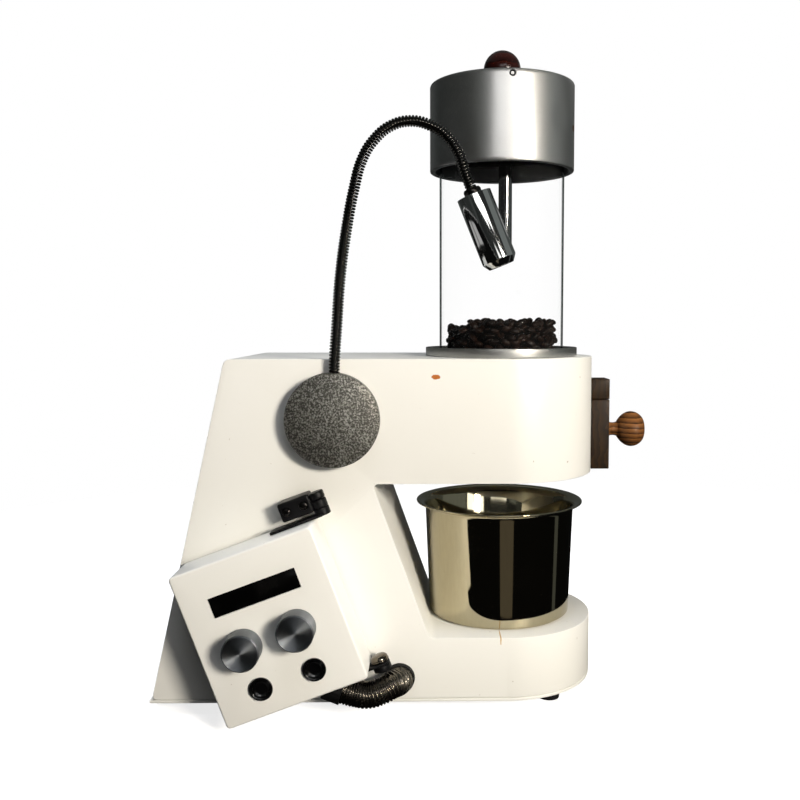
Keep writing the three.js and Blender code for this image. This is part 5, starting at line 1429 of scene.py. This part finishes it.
@dataclass
class ControlBox:
    """The control box on its tilted hinge, with window, dials and buttons."""

    tilt: float = 20.27
    width: float = 0.109
    height: float = 0.119
    depth: float = 0.0394
    stand_off: float = 0.003
    wall: float = 0.002
    edge: float = 0.0016
    corner: float = 0.0035
    window: Point2 = (0.0666, 0.0152)
    window_raise: float = 0.0282
    window_thick: float = 0.0018
    window_sink: float = 0.0002
    shaft_hole: float = 0.0039
    button_hole: float = 0.008
    dial_drop: float = 0.0054
    button_drop: float = 0.039
    spread: float = 0.0205
    dial_radius: float = 0.0134
    dial_length: float = 0.016
    dial_lift: float = 0.0012
    dial_undercut: float = 0.0024
    dial_chamfers: Point2 = (0.0006, 0.0009)
    dial_groove: Point2 = (0.0002, 0.0001)
    dial_bore: float = 0.0033
    dial_bore_depth: float = 0.011
    bezel_radius: float = 0.0086
    bezel_height: float = 0.0018
    bezel_barrel: float = 0.0077
    bezel_dish: float = 0.0006
    bezel_round: float = 0.0007
    button_depth: float = 0.017
    cap_radius: float = 0.0061
    cap_rise: float = 0.0005
    cap_foot: float = 0.002
    cap_length: float = 0.007
    cap_dish: Point2 = (0.0007, 0.001)
    cap_round: float = 0.0006
    hinge_beyond: float = 0.0073
    hinge_off: float = 0.015
    hinge_radius: float = 0.0058
    block_width: float = 0.0245
    block_height: float = 0.0145
    block_gap: float = 0.0049
    block_depth: float = 0.018
    block_round: float = 0.0016
    knuckle: float = 0.006
    bridge_reach: float = 0.007
    bridge_step: float = 0.0005
    bridge_half: float = 0.0053
    small_edge: float = 0.0005
    cutter_edge: float = 0.0001
    screw_span: float = 0.0135
    screw_seat: Point2 = (0.0037, 0.0006)
    screw_foot: Point2 = (0.001, 0.0033)
    screw_dome: tuple[Point2, ...] = ((0.0031, 0.0009), (0.0018, 0.0016), (0.0004, 0.0017))
    screw_slot: Point2 = (0.0009, 0.0007)
    screw_sides: int = 40
    leaf_length: float = 0.034
    leaf_depth: float = 0.013
    leaf_thick: float = 0.002
    head_height: float = 0.0058
    pivot_radius: float = 0.007
    post_length: float = 0.0045
    post_round: float = 0.0009
    arm_half: float = 0.004
    pivot_leaf_length: float = 0.014
    pivot_collar: tuple[Point2, ...] = ((0, 0.0014), (-0.0005, 0.0016), (-0.0005, 0.0019), (-0.0002, 0.0021))
    pivot_dome: tuple[Point2, ...] = ((0.93, 0.0034), (0.76, 0.0046), (0.5, 0.0052))

    def __post_init__(self) -> None:
        """Works out the box's own frame: x across, y up its tilted side, z out to the viewer."""
        span = Span.of("box_shell")
        panel = Span.of("body_shell").low.y
        self.frame = (
            Matrix.Translation((span.middle.x, panel, span.middle.z))
            @ Matrix.Rotation(QUARTER, 4, "X")
            @ Matrix.Rotation(math.radians(self.tilt), 4, "Z")
        )
        self.front = self.stand_off + self.depth
        self.sides = ((-self.spread, "left"), (self.spread, "right"))
        self.hinge_x = self.width / 2 + self.hinge_beyond
        self.top = self.height / 2

    def placed(self, obj: Object, finish: Finish, body: Body, *nodes: str, angle: float = 32) -> Object:
        """Stands a piece made in the box's frame up against the panel and dresses it."""
        Bench.settle(obj, self.frame)
        return Bench.dress(obj, finish, body, *nodes, angle=angle)

    def outline(self, margin: float) -> list[Point2]:
        """The box's front outline, drawn in by a margin."""
        x, y = self.width / 2 - margin, self.height / 2 - margin
        return rounded([(-x, -y), (x, -y), (x, y), (-x, y)], max(self.corner - margin, GAP), 6)

    def case(self) -> None:
        """The folded cover, open at the back, and the plate that closes it."""
        case = Bench.plate("control_case", self.outline(0), self.stand_off, self.front)
        with Bench.editing(case):
            Bench.choose(case, lambda co: co.z > self.front - WELD)
            bpy.ops.mesh.bevel(offset=self.edge, segments=4, affect="EDGES")
        wide, tall = (side / 2 for side in self.window)
        low, high = self.window_raise - tall, self.window_raise + tall
        inside, outside = self.front - OVERRUN, self.front + OVERRUN
        cutters = [
            Bench.plate("cutter", self.outline(self.wall), self.stand_off - OVERRUN, self.front - self.wall),
            Bench.block("cutter", (-wide, low, inside), (wide, high, outside)),
        ]
        for x, _ in self.sides:
            for y, radius in ((-self.dial_drop, self.shaft_hole), (-self.button_drop, self.button_hole)):
                cutters.append(Bench.rod("cutter", radius, Vector((x, y, inside)), Vector((x, y, outside))))
        Bench.combined(case, "DIFFERENCE", *cutters)
        self.placed(case, CREAM, Body.CONTROL_BOX, "box_shell")
        foot = self.stand_off
        back = Bench.plate("case_back", self.outline(self.wall + GAP), foot, foot + self.wall)
        self.placed(Bench.bevelled(back, GAP, 2), CREAM, Body.CONTROL_BOX, "box_back_plate")
        face = self.front - self.window_sink
        glass = Bench.block(
            "dark_window", (-wide + GAP, low + GAP, face - self.window_thick), (wide - GAP, high - GAP, face),
            self.window_sink, 2,
        )
        self.placed(glass, DARK_WINDOW, Body.CONTROL_BOX, "display_window")

    def dials(self) -> None:
        """Two spun aluminium dials with bright chamfers."""
        low = self.front + self.dial_lift
        high = low + self.dial_length
        wide = self.dial_radius
        for x, side in self.sides:
            body = Body.DIAL_LEFT if side == "left" else Body.DIAL_RIGHT
            under, over = self.dial_chamfers
            lip, sunk = self.dial_groove
            rim, flat = wide - over, high - sunk
            profile = [
                (wide - self.dial_undercut, low), (wide - under, low), (wide, low + under),
                (wide, high - over), (rim, high), (rim - lip, high), (rim - 2 * lip, flat), (2 * lip, flat),
            ]
            dial = Bench.turned(f"spun_dial_{side}", profile, ROUND)
            start, end = Vector((0, 0, low - OVERRUN)), Vector((0, 0, low + self.dial_bore_depth))
            bore = Bench.rod("cutter", self.dial_bore, start, end, TINY_ROUND)
            Bench.combined(dial, "DIFFERENCE", bore)
            Bench.settle(dial, Matrix.Translation((x, -self.dial_drop, 0)))
            self.placed(dial, SPUN_DIAL, body, f"dial_{side}")

    def buttons(self) -> None:
        """Two gloss black push-buttons: a rounded bezel and a dished cap."""
        low = self.front + GAP
        high = low + self.bezel_height
        wide = self.bezel_radius
        bore = self.cap_radius + GAP
        for x, side in self.sides:
            spot = Matrix.Translation((x, -self.button_drop, 0))
            foot, barrel = low - self.button_depth, self.bezel_barrel
            outline = [
                (barrel, foot), (barrel, low), (wide, low), (wide, high), (bore, high - self.bezel_dish),
                (bore, foot),
            ]
            rim = rounded(outline, self.bezel_round, 3)
            bezel = Bench.settle(Bench.turned(f"bezel_{side}", [*rim, rim[0]], SMALL_ROUND), spot)
            self.placed(bezel, BLACK_GLOSS, Body.CONTROL_BOX, f"button_bezel_{side}")
            face, cap_wide = high + self.cap_rise, self.cap_radius
            shallow, deep = self.cap_dish
            outline = [
                (self.cap_foot, face - self.cap_length), (cap_wide, face - self.cap_length), (cap_wide, face),
                (cap_wide * 0.82, face), (cap_wide * 0.6, face - shallow), (GAP, face - deep),
            ]
            dish = rounded(outline, self.cap_round, 3, False)
            cap = Bench.settle(Bench.turned(f"push_cap_{side}", dish, SMALL_ROUND), spot)
            body = Body.BUTTON_LEFT if side == "left" else Body.BUTTON_RIGHT
            self.placed(cap, BLACK_GLOSS, body, f"button_cap_{side}")

    def on_hinge(self, name: str, radius: float, low: float, high: float, edge: float = 0.0006) -> Object:
        """A barrel on the hinge line between two heights."""
        long, half = high - low, radius * 0.5
        rings = rounded([(half, 0), (radius, 0), (radius, long), (half, long)], edge, 4, False)
        barrel = Bench.turned(name, rings, SMALL_ROUND)
        place = Matrix.Translation((self.hinge_x, low, self.hinge_off)) @ Matrix.Rotation(-QUARTER, 4, "X")
        return Bench.settle(barrel, place)

    def upper_hinge(self) -> None:
        """The block on the panel with its screws, the leaf on the box and the pin through both."""
        left = self.hinge_x - self.hinge_radius - self.block_width + GAP
        foot = self.top + self.block_gap
        seat = GAP + self.block_depth
        leaf_top = self.top + GAP + self.knuckle
        low = leaf_top + GAP
        high = low + self.knuckle
        right = left + self.block_width
        block = Bench.block(
            "hinge_body", (left, foot, GAP), (right, foot + self.block_height, seat), self.block_round, 5
        )
        barrel = self.on_hinge("barrel", self.hinge_radius, low, high)
        step = self.bridge_step
        bridge = Bench.block(
            "bridge", (right - self.bridge_reach, low + step, self.hinge_off - self.bridge_half),
            (self.hinge_x, high - step, seat - step), 2 * GAP, 2,
        )
        clear = self.hinge_radius + GAP
        cutters = [
            self.on_hinge("cutter", clear, high + GAP, high + self.block_height, self.cutter_edge),
            self.on_hinge("cutter", clear, low - self.block_height, low - GAP, self.cutter_edge),
        ]
        Bench.combined(block, "DIFFERENCE", *cutters)
        Bench.combined(block, "UNION", barrel, bridge)
        y = foot + self.block_height / 2
        spots = [left + (self.block_width + side * self.screw_span) / 2 for side in (-1, 1)]
        wide, deep = self.screw_seat
        for x in spots:
            start, end = Vector((x, y, seat - deep)), Vector((x, y, seat + OVERRUN))
            Bench.combined(block, "DIFFERENCE", Bench.rod("cutter", wide, start, end))
        self.placed(block, HINGE_BLACK, Body.HOUSING, "hinge_block")
        slot_wide, slot_foot = self.screw_slot
        for i, x in enumerate(spots):
            outline = [*((out, -GAP) for out in self.screw_foot), *self.screw_dome]
            head = rounded([(out, seat + up) for out, up in outline], self.small_edge, 4, False)
            screw = Bench.turned(f"round_screw_{i + 1}", head, self.screw_sides)
            slot = Bench.block(
                "cutter", (-wide, -slot_wide / 2, seat + slot_foot), (wide, slot_wide / 2, seat + OVERRUN)
            )
            Bench.settle(slot, Matrix.Rotation(0.6 + i, 4, "Z"))
            Bench.combined(screw, "DIFFERENCE", slot)
            Bench.settle(screw, Matrix.Translation((x, y, 0)))
            self.placed(screw, BLACK_CHROME, Body.HOUSING, f"hinge_screw_{i + 1}")
        back, under = self.hinge_off - self.hinge_radius, self.top + GAP
        leaf = Bench.block(
            "leaf_upper", (self.width / 2 - self.leaf_length, under, back),
            (self.hinge_x, under + self.leaf_thick, back + self.leaf_depth), self.small_edge, 2,
        )
        Bench.combined(leaf, "UNION", self.on_hinge("knuckle", self.hinge_radius, under, leaf_top))
        self.placed(leaf, HINGE_BLACK, Body.CONTROL_BOX, "hinge_leaf_upper")
        foot = high + GAP
        head = self.on_hinge("pin_head", self.hinge_radius, foot, foot + self.head_height, self.block_round)
        self.placed(head, HINGE_BLACK, Body.HOUSING, "hinge_pin_upper")

    def lower_hinge(self) -> None:
        """The post on the panel, the leaf under the box and the domed pin."""
        wide = self.pivot_radius
        leaf_top = -self.top - GAP
        leaf_under = leaf_top - self.leaf_thick
        high = leaf_under - GAP
        low = high - self.post_length
        post = self.on_hinge("pivot_barrel", wide, low, high, self.post_round)
        left, right = self.hinge_x - self.arm_half, self.hinge_x + self.arm_half
        arm = Bench.block(
            "arm", (left, low + GAP, GAP), (right, high - GAP, self.hinge_off), self.small_edge, 2
        )
        Bench.combined(post, "UNION", arm)
        self.placed(post, HINGE_BLACK, Body.HOUSING, "pivot_post")
        back = self.hinge_off - self.hinge_radius
        leaf = Bench.block(
            "leaf_lower", (self.width / 2 - self.pivot_leaf_length, leaf_under, back),
            (self.hinge_x, leaf_top, back + self.leaf_depth), self.small_edge, 2,
        )
        Bench.combined(leaf, "UNION", self.on_hinge("knuckle", wide, leaf_under, leaf_top, GAP))
        self.placed(leaf, HINGE_BLACK, Body.CONTROL_BOX, "hinge_leaf_lower")
        collar = [(wide + out, up) for out, up in self.pivot_collar]
        dome = [(wide * share, up) for share, up in self.pivot_dome]
        rings = rounded([(wide * 0.5, 0.0), (wide, 0.0), *collar, *dome], GAP, 3, False)
        pin = Bench.turned("domed_pin", rings, SMALL_ROUND)
        place = Matrix.Translation((self.hinge_x, -self.top, self.hinge_off))
        Bench.settle(pin, place @ Matrix.Rotation(-QUARTER, 4, "X"))
        self.placed(pin, PIVOT_CHROME, Body.CONTROL_BOX, "pivot_pin")

    def build(self) -> None:
        """Makes the box and all that it carries."""
        self.case()
        self.dials()
        self.buttons()
        self.upper_hinge()
        self.lower_hinge()


@dataclass
class Conduit:
    """The ribbed conduit from the housing to the control box."""

    radius: float = 0.0102
    rib_depth: float = 0.0011
    rib_shoulder: float = 0.0006
    rib_crown: float = 0.0001
    ribs: int = 37
    sides: int = 48
    collar: Point3 = (0.0105, 0.011, 0.0118)
    collar_nose: float = 0.0111
    collar_heights: Point3 = (-0.0023, 0.0003, 0.0043)

    def __post_init__(self) -> None:
        """Places the listed route: along, above and in front of the grommet's middle."""
        panel = Span.of("body_shell").low.y
        middle = Span.of("grommet").middle
        steps = [
            (0, 0, -19), (0, 0, -9), (0, 0, -1), (0, 0, 4.5), (-0.9, 0.5, 9.9), (-5.4, 0.7, 15.4),
            (-13, -2.2, 19.1), (-22.7, -5, 19.2), (-32, -4.8, 17.6), (-40.5, -3.1, 16.2), (-46.5, -1.1, 15.3),
        ]
        self.route = [
            Vector((middle.x + x / 1000, panel - out / 1000, middle.z + up / 1000)) for x, up, out in steps
        ]
        self.grommet = Vector((middle.x, panel, middle.z))

    def hose(self) -> None:
        """One rib, repeated and bent along the route."""
        length = route_length(self.route)
        pitch = length / self.ribs
        deep = self.radius - self.rib_depth
        inner = self.radius - 2.2 * self.rib_depth
        shoulder, crown = self.radius - self.rib_shoulder, self.radius - self.rib_crown
        crest = [(crown, 0.34 * pitch), (self.radius, 0.5 * pitch), (crown, 0.66 * pitch)]
        rib = [
            (deep, 0.0), (deep, 0.08 * pitch), (shoulder, 0.2 * pitch), *crest, (shoulder, 0.8 * pitch),
            (deep, 0.92 * pitch), (deep, pitch),
        ]
        hose = Bench.turned("ribbed_hose", [(inner, 0.0), *rib, (inner, pitch), (inner, 0.0)], self.sides)
        Bench.settle(hose, Matrix.Rotation(QUARTER, 4, "Y"))
        with Bench.editing(hose):
            mesh = bmesh.from_edit_mesh(hose.data)
            for face in mesh.faces:
                off_middle = abs(face.calc_center_median().x - pitch / 2)
                face.select_set(abs(face.normal.x) > 0.99 and off_middle > 0.49 * pitch)
            bmesh.update_edit_mesh(hose.data)
            bpy.ops.mesh.delete(type="ONLY_FACE")
        Bench.bent(hose, self.route, self.ribs, pitch)
        with Bench.editing(hose):
            for end in (self.route[0], self.route[-1]):
                self.close(hose, end)
            Bench.tidy()
        Bench.dress(hose, HOSE, None, "conduit", angle=50)
        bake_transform(hose)

    def close(self, hose: Object, end: Vector) -> None:
        """Bridges the open rings of the edited hose near one of its ends."""
        bpy.ops.mesh.select_mode(type="EDGE")
        bpy.ops.mesh.select_all(action="DESELECT")
        bpy.ops.mesh.select_non_manifold()
        mesh = bmesh.from_edit_mesh(hose.data)
        for edge in mesh.edges:
            if edge.select and (edge.verts[0].co - end).length > 2 * self.radius:
                edge.select_set(False)
        bmesh.update_edit_mesh(hose.data)
        bpy.ops.mesh.bridge_edge_loops()

    def panel_ring(self) -> None:
        """The rubber grommet in the panel."""
        inner, groove, flange = self.collar
        behind, panel, front = self.collar_heights
        outline = [
            (groove, behind), (groove, panel), (flange, panel), (self.collar_nose, front), (inner, front),
            (inner, behind),
        ]
        profile = rounded(outline, GAP, 3)
        ring = Bench.turned("rubber_grommet", [*profile, profile[0]], SMALL_ROUND)
        Bench.settle(ring, Matrix.Translation(self.grommet) @ Matrix.Rotation(QUARTER, 4, "X"))
        Bench.dress(ring, RUBBER, Body.HOUSING, "grommet")

    def build(self) -> None:
        """Makes the conduit's pieces."""
        self.hose()
        self.panel_ring()


@dataclass
class Lamp:
    """The lamp: a magnetic disc, a coiled gooseneck and a chromed head."""

    disc_thick: float = 0.012
    disc_edge: float = 0.0014
    neck_radius: float = 0.0043
    neck_bury: float = 0.007
    wire: float = 0.0011
    pitch: float = 0.0023
    head_radius: float = 0.013
    head_length: float = 0.056
    head_angle: float = 21.9
    head_round: float = 0.0005
    neck_out: float = 0.0063
    collar_bore: float = 0.0046
    collar_radii: Point2 = (0.0058, 0.0066)
    collar_lengths: Point2 = (0.005, 0.0035)
    nose_radius: float = 0.0095
    nose_length: float = 0.005
    mouth_radius: float = 0.0079
    mouth_depth: float = 0.0042
    core: float = 0.001
    lens_sink: Point3 = (0.0037, 0.0017, 0.0012)
    lens_round: float = 0.0006

    def __post_init__(self) -> None:
        """Places the gooseneck's listed route, along and above the disc's axis."""
        disc = Span.of("lamp_disc")
        self.disc = disc
        self.panel = Span.of("body_shell").low.y
        steps = [
            (1.8, 28.1), (1.8, 36.1), (2.1, 46.1), (3.7, 67.2), (7, 108.7), (11.8, 142.2), (17.4, 170.8),
            (23.8, 192.8), (32.8, 206.9), (44.6, 216.4), (58.8, 220), (73.2, 217.1), (84.6, 210.1),
            (93.6, 198.2), (99.2, 182.4), (103.1, 172.5), (105.5, 166.6),
        ]
        out = self.panel - self.neck_out
        self.route = [Vector((disc.middle.x + x / 1000, out, disc.middle.z + up / 1000)) for x, up in steps]
        turn = math.radians(self.head_angle)
        self.way = Vector((math.sin(turn), 0, -math.cos(turn)))

    def base(self) -> None:
        """The rough-cast disc that holds to the panel."""
        wide = self.disc.size.x / 2
        outline = [(wide * 0.8, 0), (wide, 0), (wide, self.disc_thick), (wide * 0.4, self.disc_thick)]
        disc = Bench.turned("cast_disc", rounded(outline, self.disc_edge, 4, False), ROUND)
        place = Matrix.Translation((self.disc.middle.x, self.panel - GAP, self.disc.middle.z))
        Bench.settle(disc, place @ Matrix.Rotation(QUARTER, 4, "X"))
        top = self.route[0] + Vector((0, 0, wide))
        Bench.combined(disc, "DIFFERENCE", Bench.rod("cutter", self.neck_radius + GAP, self.route[0], top))
        cast = Cast("cast_grey", Slot.CAST_GREY, middle=self.disc.middle, reach=wide)
        Bench.dress(disc, cast, Body.LAMP, "lamp_disc")

    def neck(self) -> None:
        """Wire coiled on a core, bent along the route."""
        route = [*self.route, self.route[-1] + self.way * self.neck_bury]
        length = route_length(route)
        turns = int(length / self.pitch)
        middle = (0, 0, self.neck_radius - self.wire)
        Bench.clear()
        bpy.ops.mesh.primitive_circle_add(vertices=8, radius=self.wire, location=middle)
        coil = Bench.named("gooseneck_coil")
        with Bench.editing(coil):
            bpy.ops.transform.resize(value=(0.9, 1, 1))
            bpy.ops.transform.rotate(value=QUARTER, orient_axis="X", center_override=middle)
        Bench.settle(coil, Matrix.Identity(4))
        Bench.apply(
            coil, "SCREW", axis="X", angle=2 * math.pi, screw_offset=self.pitch, iterations=turns, steps=18,
            render_steps=18, use_merge_vertices=True, merge_threshold=WELD,
        )
        Bench.bent(coil, route, 1, 0)
        with Bench.editing(coil):
            Bench.tidy()
            bpy.ops.mesh.fill_holes(sides=8)
        Bench.dress(coil, NECK_CHROME, Body.LAMP, "lamp_neck", angle=60)

    def head(self) -> None:
        """The chromed head with its ferrule, lens and rim."""
        top = self.route[-1]
        place = Matrix.Translation(top) @ self.way.to_track_quat("Z", "Y").to_matrix().to_4x4()
        wide, long = self.head_radius, self.head_length
        bore, mouth, bottom = self.collar_bore, self.mouth_radius, long - self.mouth_depth
        outline = [
            (bore, 0.0), (wide, 0.0), (wide, long - self.nose_length), (self.nose_radius, long),
            (mouth, long), (mouth, bottom), (self.core, bottom),
        ]
        head = Bench.turned("chrome_head", rounded(outline, self.head_round, 3, False), ROUND)
        Bench.dress(Bench.settle(head, place), CHROME, Body.LAMP, "lamp_head")
        slim, broad = self.collar_radii
        far, near = self.collar_lengths
        outline = [(bore, -far), (slim, -far), (broad, -near), (broad, 0.0), (bore, 0.0)]
        collar = rounded(outline, self.head_round, 3)
        ferrule = Bench.turned("neck_ferrule", [*collar, collar[0]], SMALL_ROUND)
        Bench.dress(Bench.settle(ferrule, place), BLACK_CHROME, Body.LAMP)
        under, edge, crown = (long - sink for sink in self.lens_sink)
        glass = mouth - GAP
        outline = [(2 * self.core, under), (glass, under), (glass, edge), (2 * self.core, crown)]
        dome = rounded(outline, self.lens_round, 3, False)
        lens = Bench.turned("lamp_glass", dome, SMALL_ROUND)
        Bench.dress(Bench.settle(lens, place), GLASS, Body.LAMP, "lamp_lens")

    def build(self) -> None:
        """Makes the lamp's pieces."""
        self.base()
        self.neck()
        self.head()


class Inside:
    """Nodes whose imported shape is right: they get their finishes only."""

    FINISHES = {
        "gate_housing": STEEL, "gate_carriage": STEEL, "gate_rod": STEEL, "heater_tube": STEEL,
        "heater_core": CERAMIC, "blower_housing": BLACK_PLASTIC, "blower_impeller": BLACK_PLASTIC,
        "blower_motor": MOTOR, "power_board": BOARD, "heat_sink": SATIN, "display_module": BOARD,
        "control_board": BOARD, "encoder_left": STEEL, "encoder_right": STEEL, "conduit_elbow": BLACK_PLASTIC,
    }

    def build(self, nodes: dict[str, Object]) -> None:
        """Puts the finishes on.

        Args:
            nodes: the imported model's objects by name.
        """
        for name, finish in self.FINISHES.items():
            for slot in nodes[name].material_slots:
                slot.material = finish.material()
            LOG.info("%s keeps its shape, %s", name, finish.name)


@dataclass
class Studio:
    """Pale floor, soft lamps, dark cards for the metal to show, and the camera."""

    camera_place: tuple[float, float, float] = (0.01753, -0.72021, 0.30178)
    camera_yaw: float = 0.016
    camera_pitch: float = 0.07
    lens: float = 40.29
    shift: Point2 = (-0.0543, -0.0185)
    floor_reach: float = 6.0
    floor_fade: float = 1.0
    floor_glow: float = 0.75
    fill: float = 0.03
    room: float = 2.2
    right_wall: float = 1.75
    card_step: float = 0.05
    sill: float = 0.74

    def camera(self) -> None:
        """The photograph's viewpoint."""
        data = bpy.data.cameras.new("camera")
        data.lens = self.lens
        data.sensor_width = 36
        data.shift_x, data.shift_y = self.shift
        camera = bpy.data.objects.new("camera", data)
        camera.location = self.camera_place
        camera.rotation_euler = (QUARTER - self.camera_pitch, 0, -self.camera_yaw)
        bpy.context.scene.collection.objects.link(camera)
        bpy.context.scene.camera = camera

    def world(self) -> None:
        """White behind the object, and a gentler light from all sides."""
        world = bpy.data.worlds.new("studio")
        bpy.context.scene.world = world
        world.use_nodes = True
        tree = world.node_tree
        background = tree.nodes["Background"]
        background.inputs["Color"].default_value = (1, 1, 1, 1)
        path = tree.nodes.new("ShaderNodeLightPath")
        seen = path.outputs["Is Camera Ray"]
        for ray in ("Is Glossy Ray", "Is Transmission Ray"):
            both = tree.nodes.new("ShaderNodeMath")
            both.operation = "MAXIMUM"
            tree.links.new(seen, both.inputs[0])
            tree.links.new(path.outputs[ray], both.inputs[1])
            seen = both.outputs[0]
        strength = tree.nodes.new("ShaderNodeMapRange")
        strength.inputs["To Min"].default_value = self.fill
        strength.inputs["To Max"].default_value = 1.0
        tree.links.new(seen, strength.inputs["Value"])
        tree.links.new(strength.outputs["Result"], background.inputs["Strength"])

    def floor(self) -> None:
        """A pale floor that goes over into the white background away from the object."""
        Bench.clear()
        bpy.ops.mesh.primitive_plane_add(size=2 * self.floor_reach)
        floor = Bench.named("floor")
        recipe = Recipe("pale_floor")
        near = recipe.spot((0.05, 0.05, 0), (1 / self.floor_fade, 1 / self.floor_fade, 0))
        recipe.set(
            Base_Color=(0.94, 0.94, 0.94, 1), Roughness=0.9, Specular_IOR_Level=0.0,
            Emission_Color=(1, 1, 1, 1), Emission_Strength=self.floor_glow,
            Alpha=recipe.ramp(near, [(0.0, 0.0), (0.5, 1.0)]),
        )
        floor.data.materials.append(recipe.material)
        floor.visible_glossy = False
        floor.visible_diffuse = False

    def lamp(
        self, name: str, place: Sequence[float], size: float, power: float, colour: str, aim: Sequence[float]
    ) -> Object:
        """A square soft box aimed at a point."""
        data = bpy.data.lights.new(name, "AREA")
        data.size = size
        data.energy = power
        data.color = linear(colour)[:3]
        light = bpy.data.objects.new(name, data)
        light.location = place
        light.rotation_euler = (Vector(aim) - Vector(place)).to_track_quat("-Z", "Y").to_euler()
        bpy.context.scene.collection.objects.link(light)
        return light

    def card(
        self, name: str, points: Sequence[Point2], low: float, high: float, glow: float, tint: str
    ) -> None:
        """A card that only reflections see.

        Args:
            name: the card's name.
            points: its outline on the floor.
            low: height of its foot.
            high: height of its top.
            glow: how bright it looks.
            tint: its colour.
        """
        card = Bench.plate(name, points, low, high)
        recipe = Recipe(f"{name}_card")
        recipe.set(
            Base_Color=(0, 0, 0, 1), Roughness=1.0, Specular_IOR_Level=0.0, Emission_Color=linear(tint),
            Emission_Strength=glow,
        )
        card.data.materials.append(recipe.material)
        for ray in ("camera", "diffuse", "transmission", "shadow", "volume_scatter"):
            setattr(card, f"visible_{ray}", False)

    def wall(
        self, name: str, start: Point2, end: Point2, low: float, high: float, glow: float, tint: str
    ) -> None:
        """A thin upright card between two points of the floor."""
        along = (Vector(end) - Vector(start)).normalized() * 0.01
        across = Vector((-along.y, along.x))
        corners = [Vector(start), Vector(end), Vector(end) + across, Vector(start) + across]
        self.card(name, [(c.x, c.y) for c in corners], low, high, glow, tint)

    def surroundings(self) -> None:
        """What the metal shows: a dark room round the table, open and bright at the front right."""
        far, near = self.room, self.room - self.card_step
        side, corner = self.right_wall, self.right_wall - self.card_step
        sill, white, slate = self.sill, "ffffff", "dfe8e6"
        for wall in (
            ("left", (-far, far), (-far, -far), 0.0, far, 0.04, slate),
            ("front", (-far, -far), (side, -far), 0.0, far, 0.03, slate),
            ("front_left", (-far, -near), (-1.4, -near), 0.0, far, 0.07, slate),
            ("front_dusk", (-1.4, -near), (-0.8, -near), sill, far, 0.25, slate),
            ("front_bright", (-0.6, -near), (0.42, -near), sill, 1.25, 2.6, white),
            ("front_above", (0.42, -near), (1.05, -near), 0.98, 1.35, 4.0, white),
            ("front_right", (0.95, -near), (corner, -near), 0.45, 0.8, 3.0, white),
            ("right_corner", (corner, -near), (corner, -1.3), 0.45, 0.8, 3.0, white),
            ("glint", (1.019, -1.741), (1.281, -1.559), 0.44, 0.68, 80.0, "fff6e8"),
            ("front_step", (0.08, -near), (0.9, -near), 0.08, 0.42, 1.5, white),
            ("right_front", (side, -far), (side, -1.2), 0.0, far, 0.03, slate),
            ("right", (side, -1.2), (side, 0.4), 0.0, far, 0.24, slate),
            ("right_back", (side, 0.4), (side, far), 0.0, far, 0.1, slate),
            ("right_light", (corner, 1.4), (corner, far), 1.15, 1.7, 0.5, white),
            ("back", (side, far), (-far, far), 0.0, far, 0.09, slate),
        ):
            self.wall(*wall)
        for name, left, front, right, back, low, high, glow, tint in (
            ("ceiling", -far, -1.4, side, far, far, far + 0.01, 0.2, slate),
            ("ceiling_front", -far, -far, side, -1.4, far, far + 0.01, 0.05, slate),
            ("table_left", -1.6, -0.6, -1.0, 0.6, -0.009, -0.006, 0.45, white),
            ("table", -far, -far, far, far, -0.02, -0.01, 0.004, white),
        ):
            corners = [(left, front), (right, front), (right, back), (left, back)]
            self.card(name, corners, low, high, glow, tint)
        streak = [(0.07, -0.185), (-0.03, -1.63), (0.63, -1.54), (0.131, -0.176)]
        self.card("table_streak", streak, -0.009, -0.006, 0.11, "fff0d8")
        strip = [(0.285, 0.0), (1.43, 0.08), (1.4, 0.28), (0.281, 0.024)]
        self.card("table_strip", strip, -0.009, -0.006, 0.11, slate)

    def build(self) -> None:
        """Sets the studio up."""
        self.world()
        self.floor()
        for light in (
            self.lamp("key", (1.15, -1.65, 0.76), 0.42, 46.5, "fff6e8", (0, 0, 0.25)),
            self.lamp("sky", (0.1, -0.2, 2.0), 1.1, 24, "f6f9ff", (0, 0, 0.15)),
            self.lamp("bounce", (0.3, -0.75, 0.03), 0.4, 0.8, "ffffff", (-0.05, -0.05, 0.1)),
        ):
            light.visible_glossy = False
        self.surroundings()
        self.camera()


def main() -> None:
    """Builds the dressed roaster in order."""
    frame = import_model()
    Bench.clear()
    Studio().build()
    Housing().build()
    Chamber().build()
    Cap().build()
    Gate().build()
    Pot().build()
    ControlBox().build()
    Conduit().build()
    Lamp().build()
    Inside().build(frame["nodes"])
    view = bpy.context.scene.view_settings
    view.view_transform = "Standard"
    Bench.clear()


if __name__ == "__main__":
    logging.basicConfig(level=logging.INFO, format="%(name)s: %(message)s")
    main()
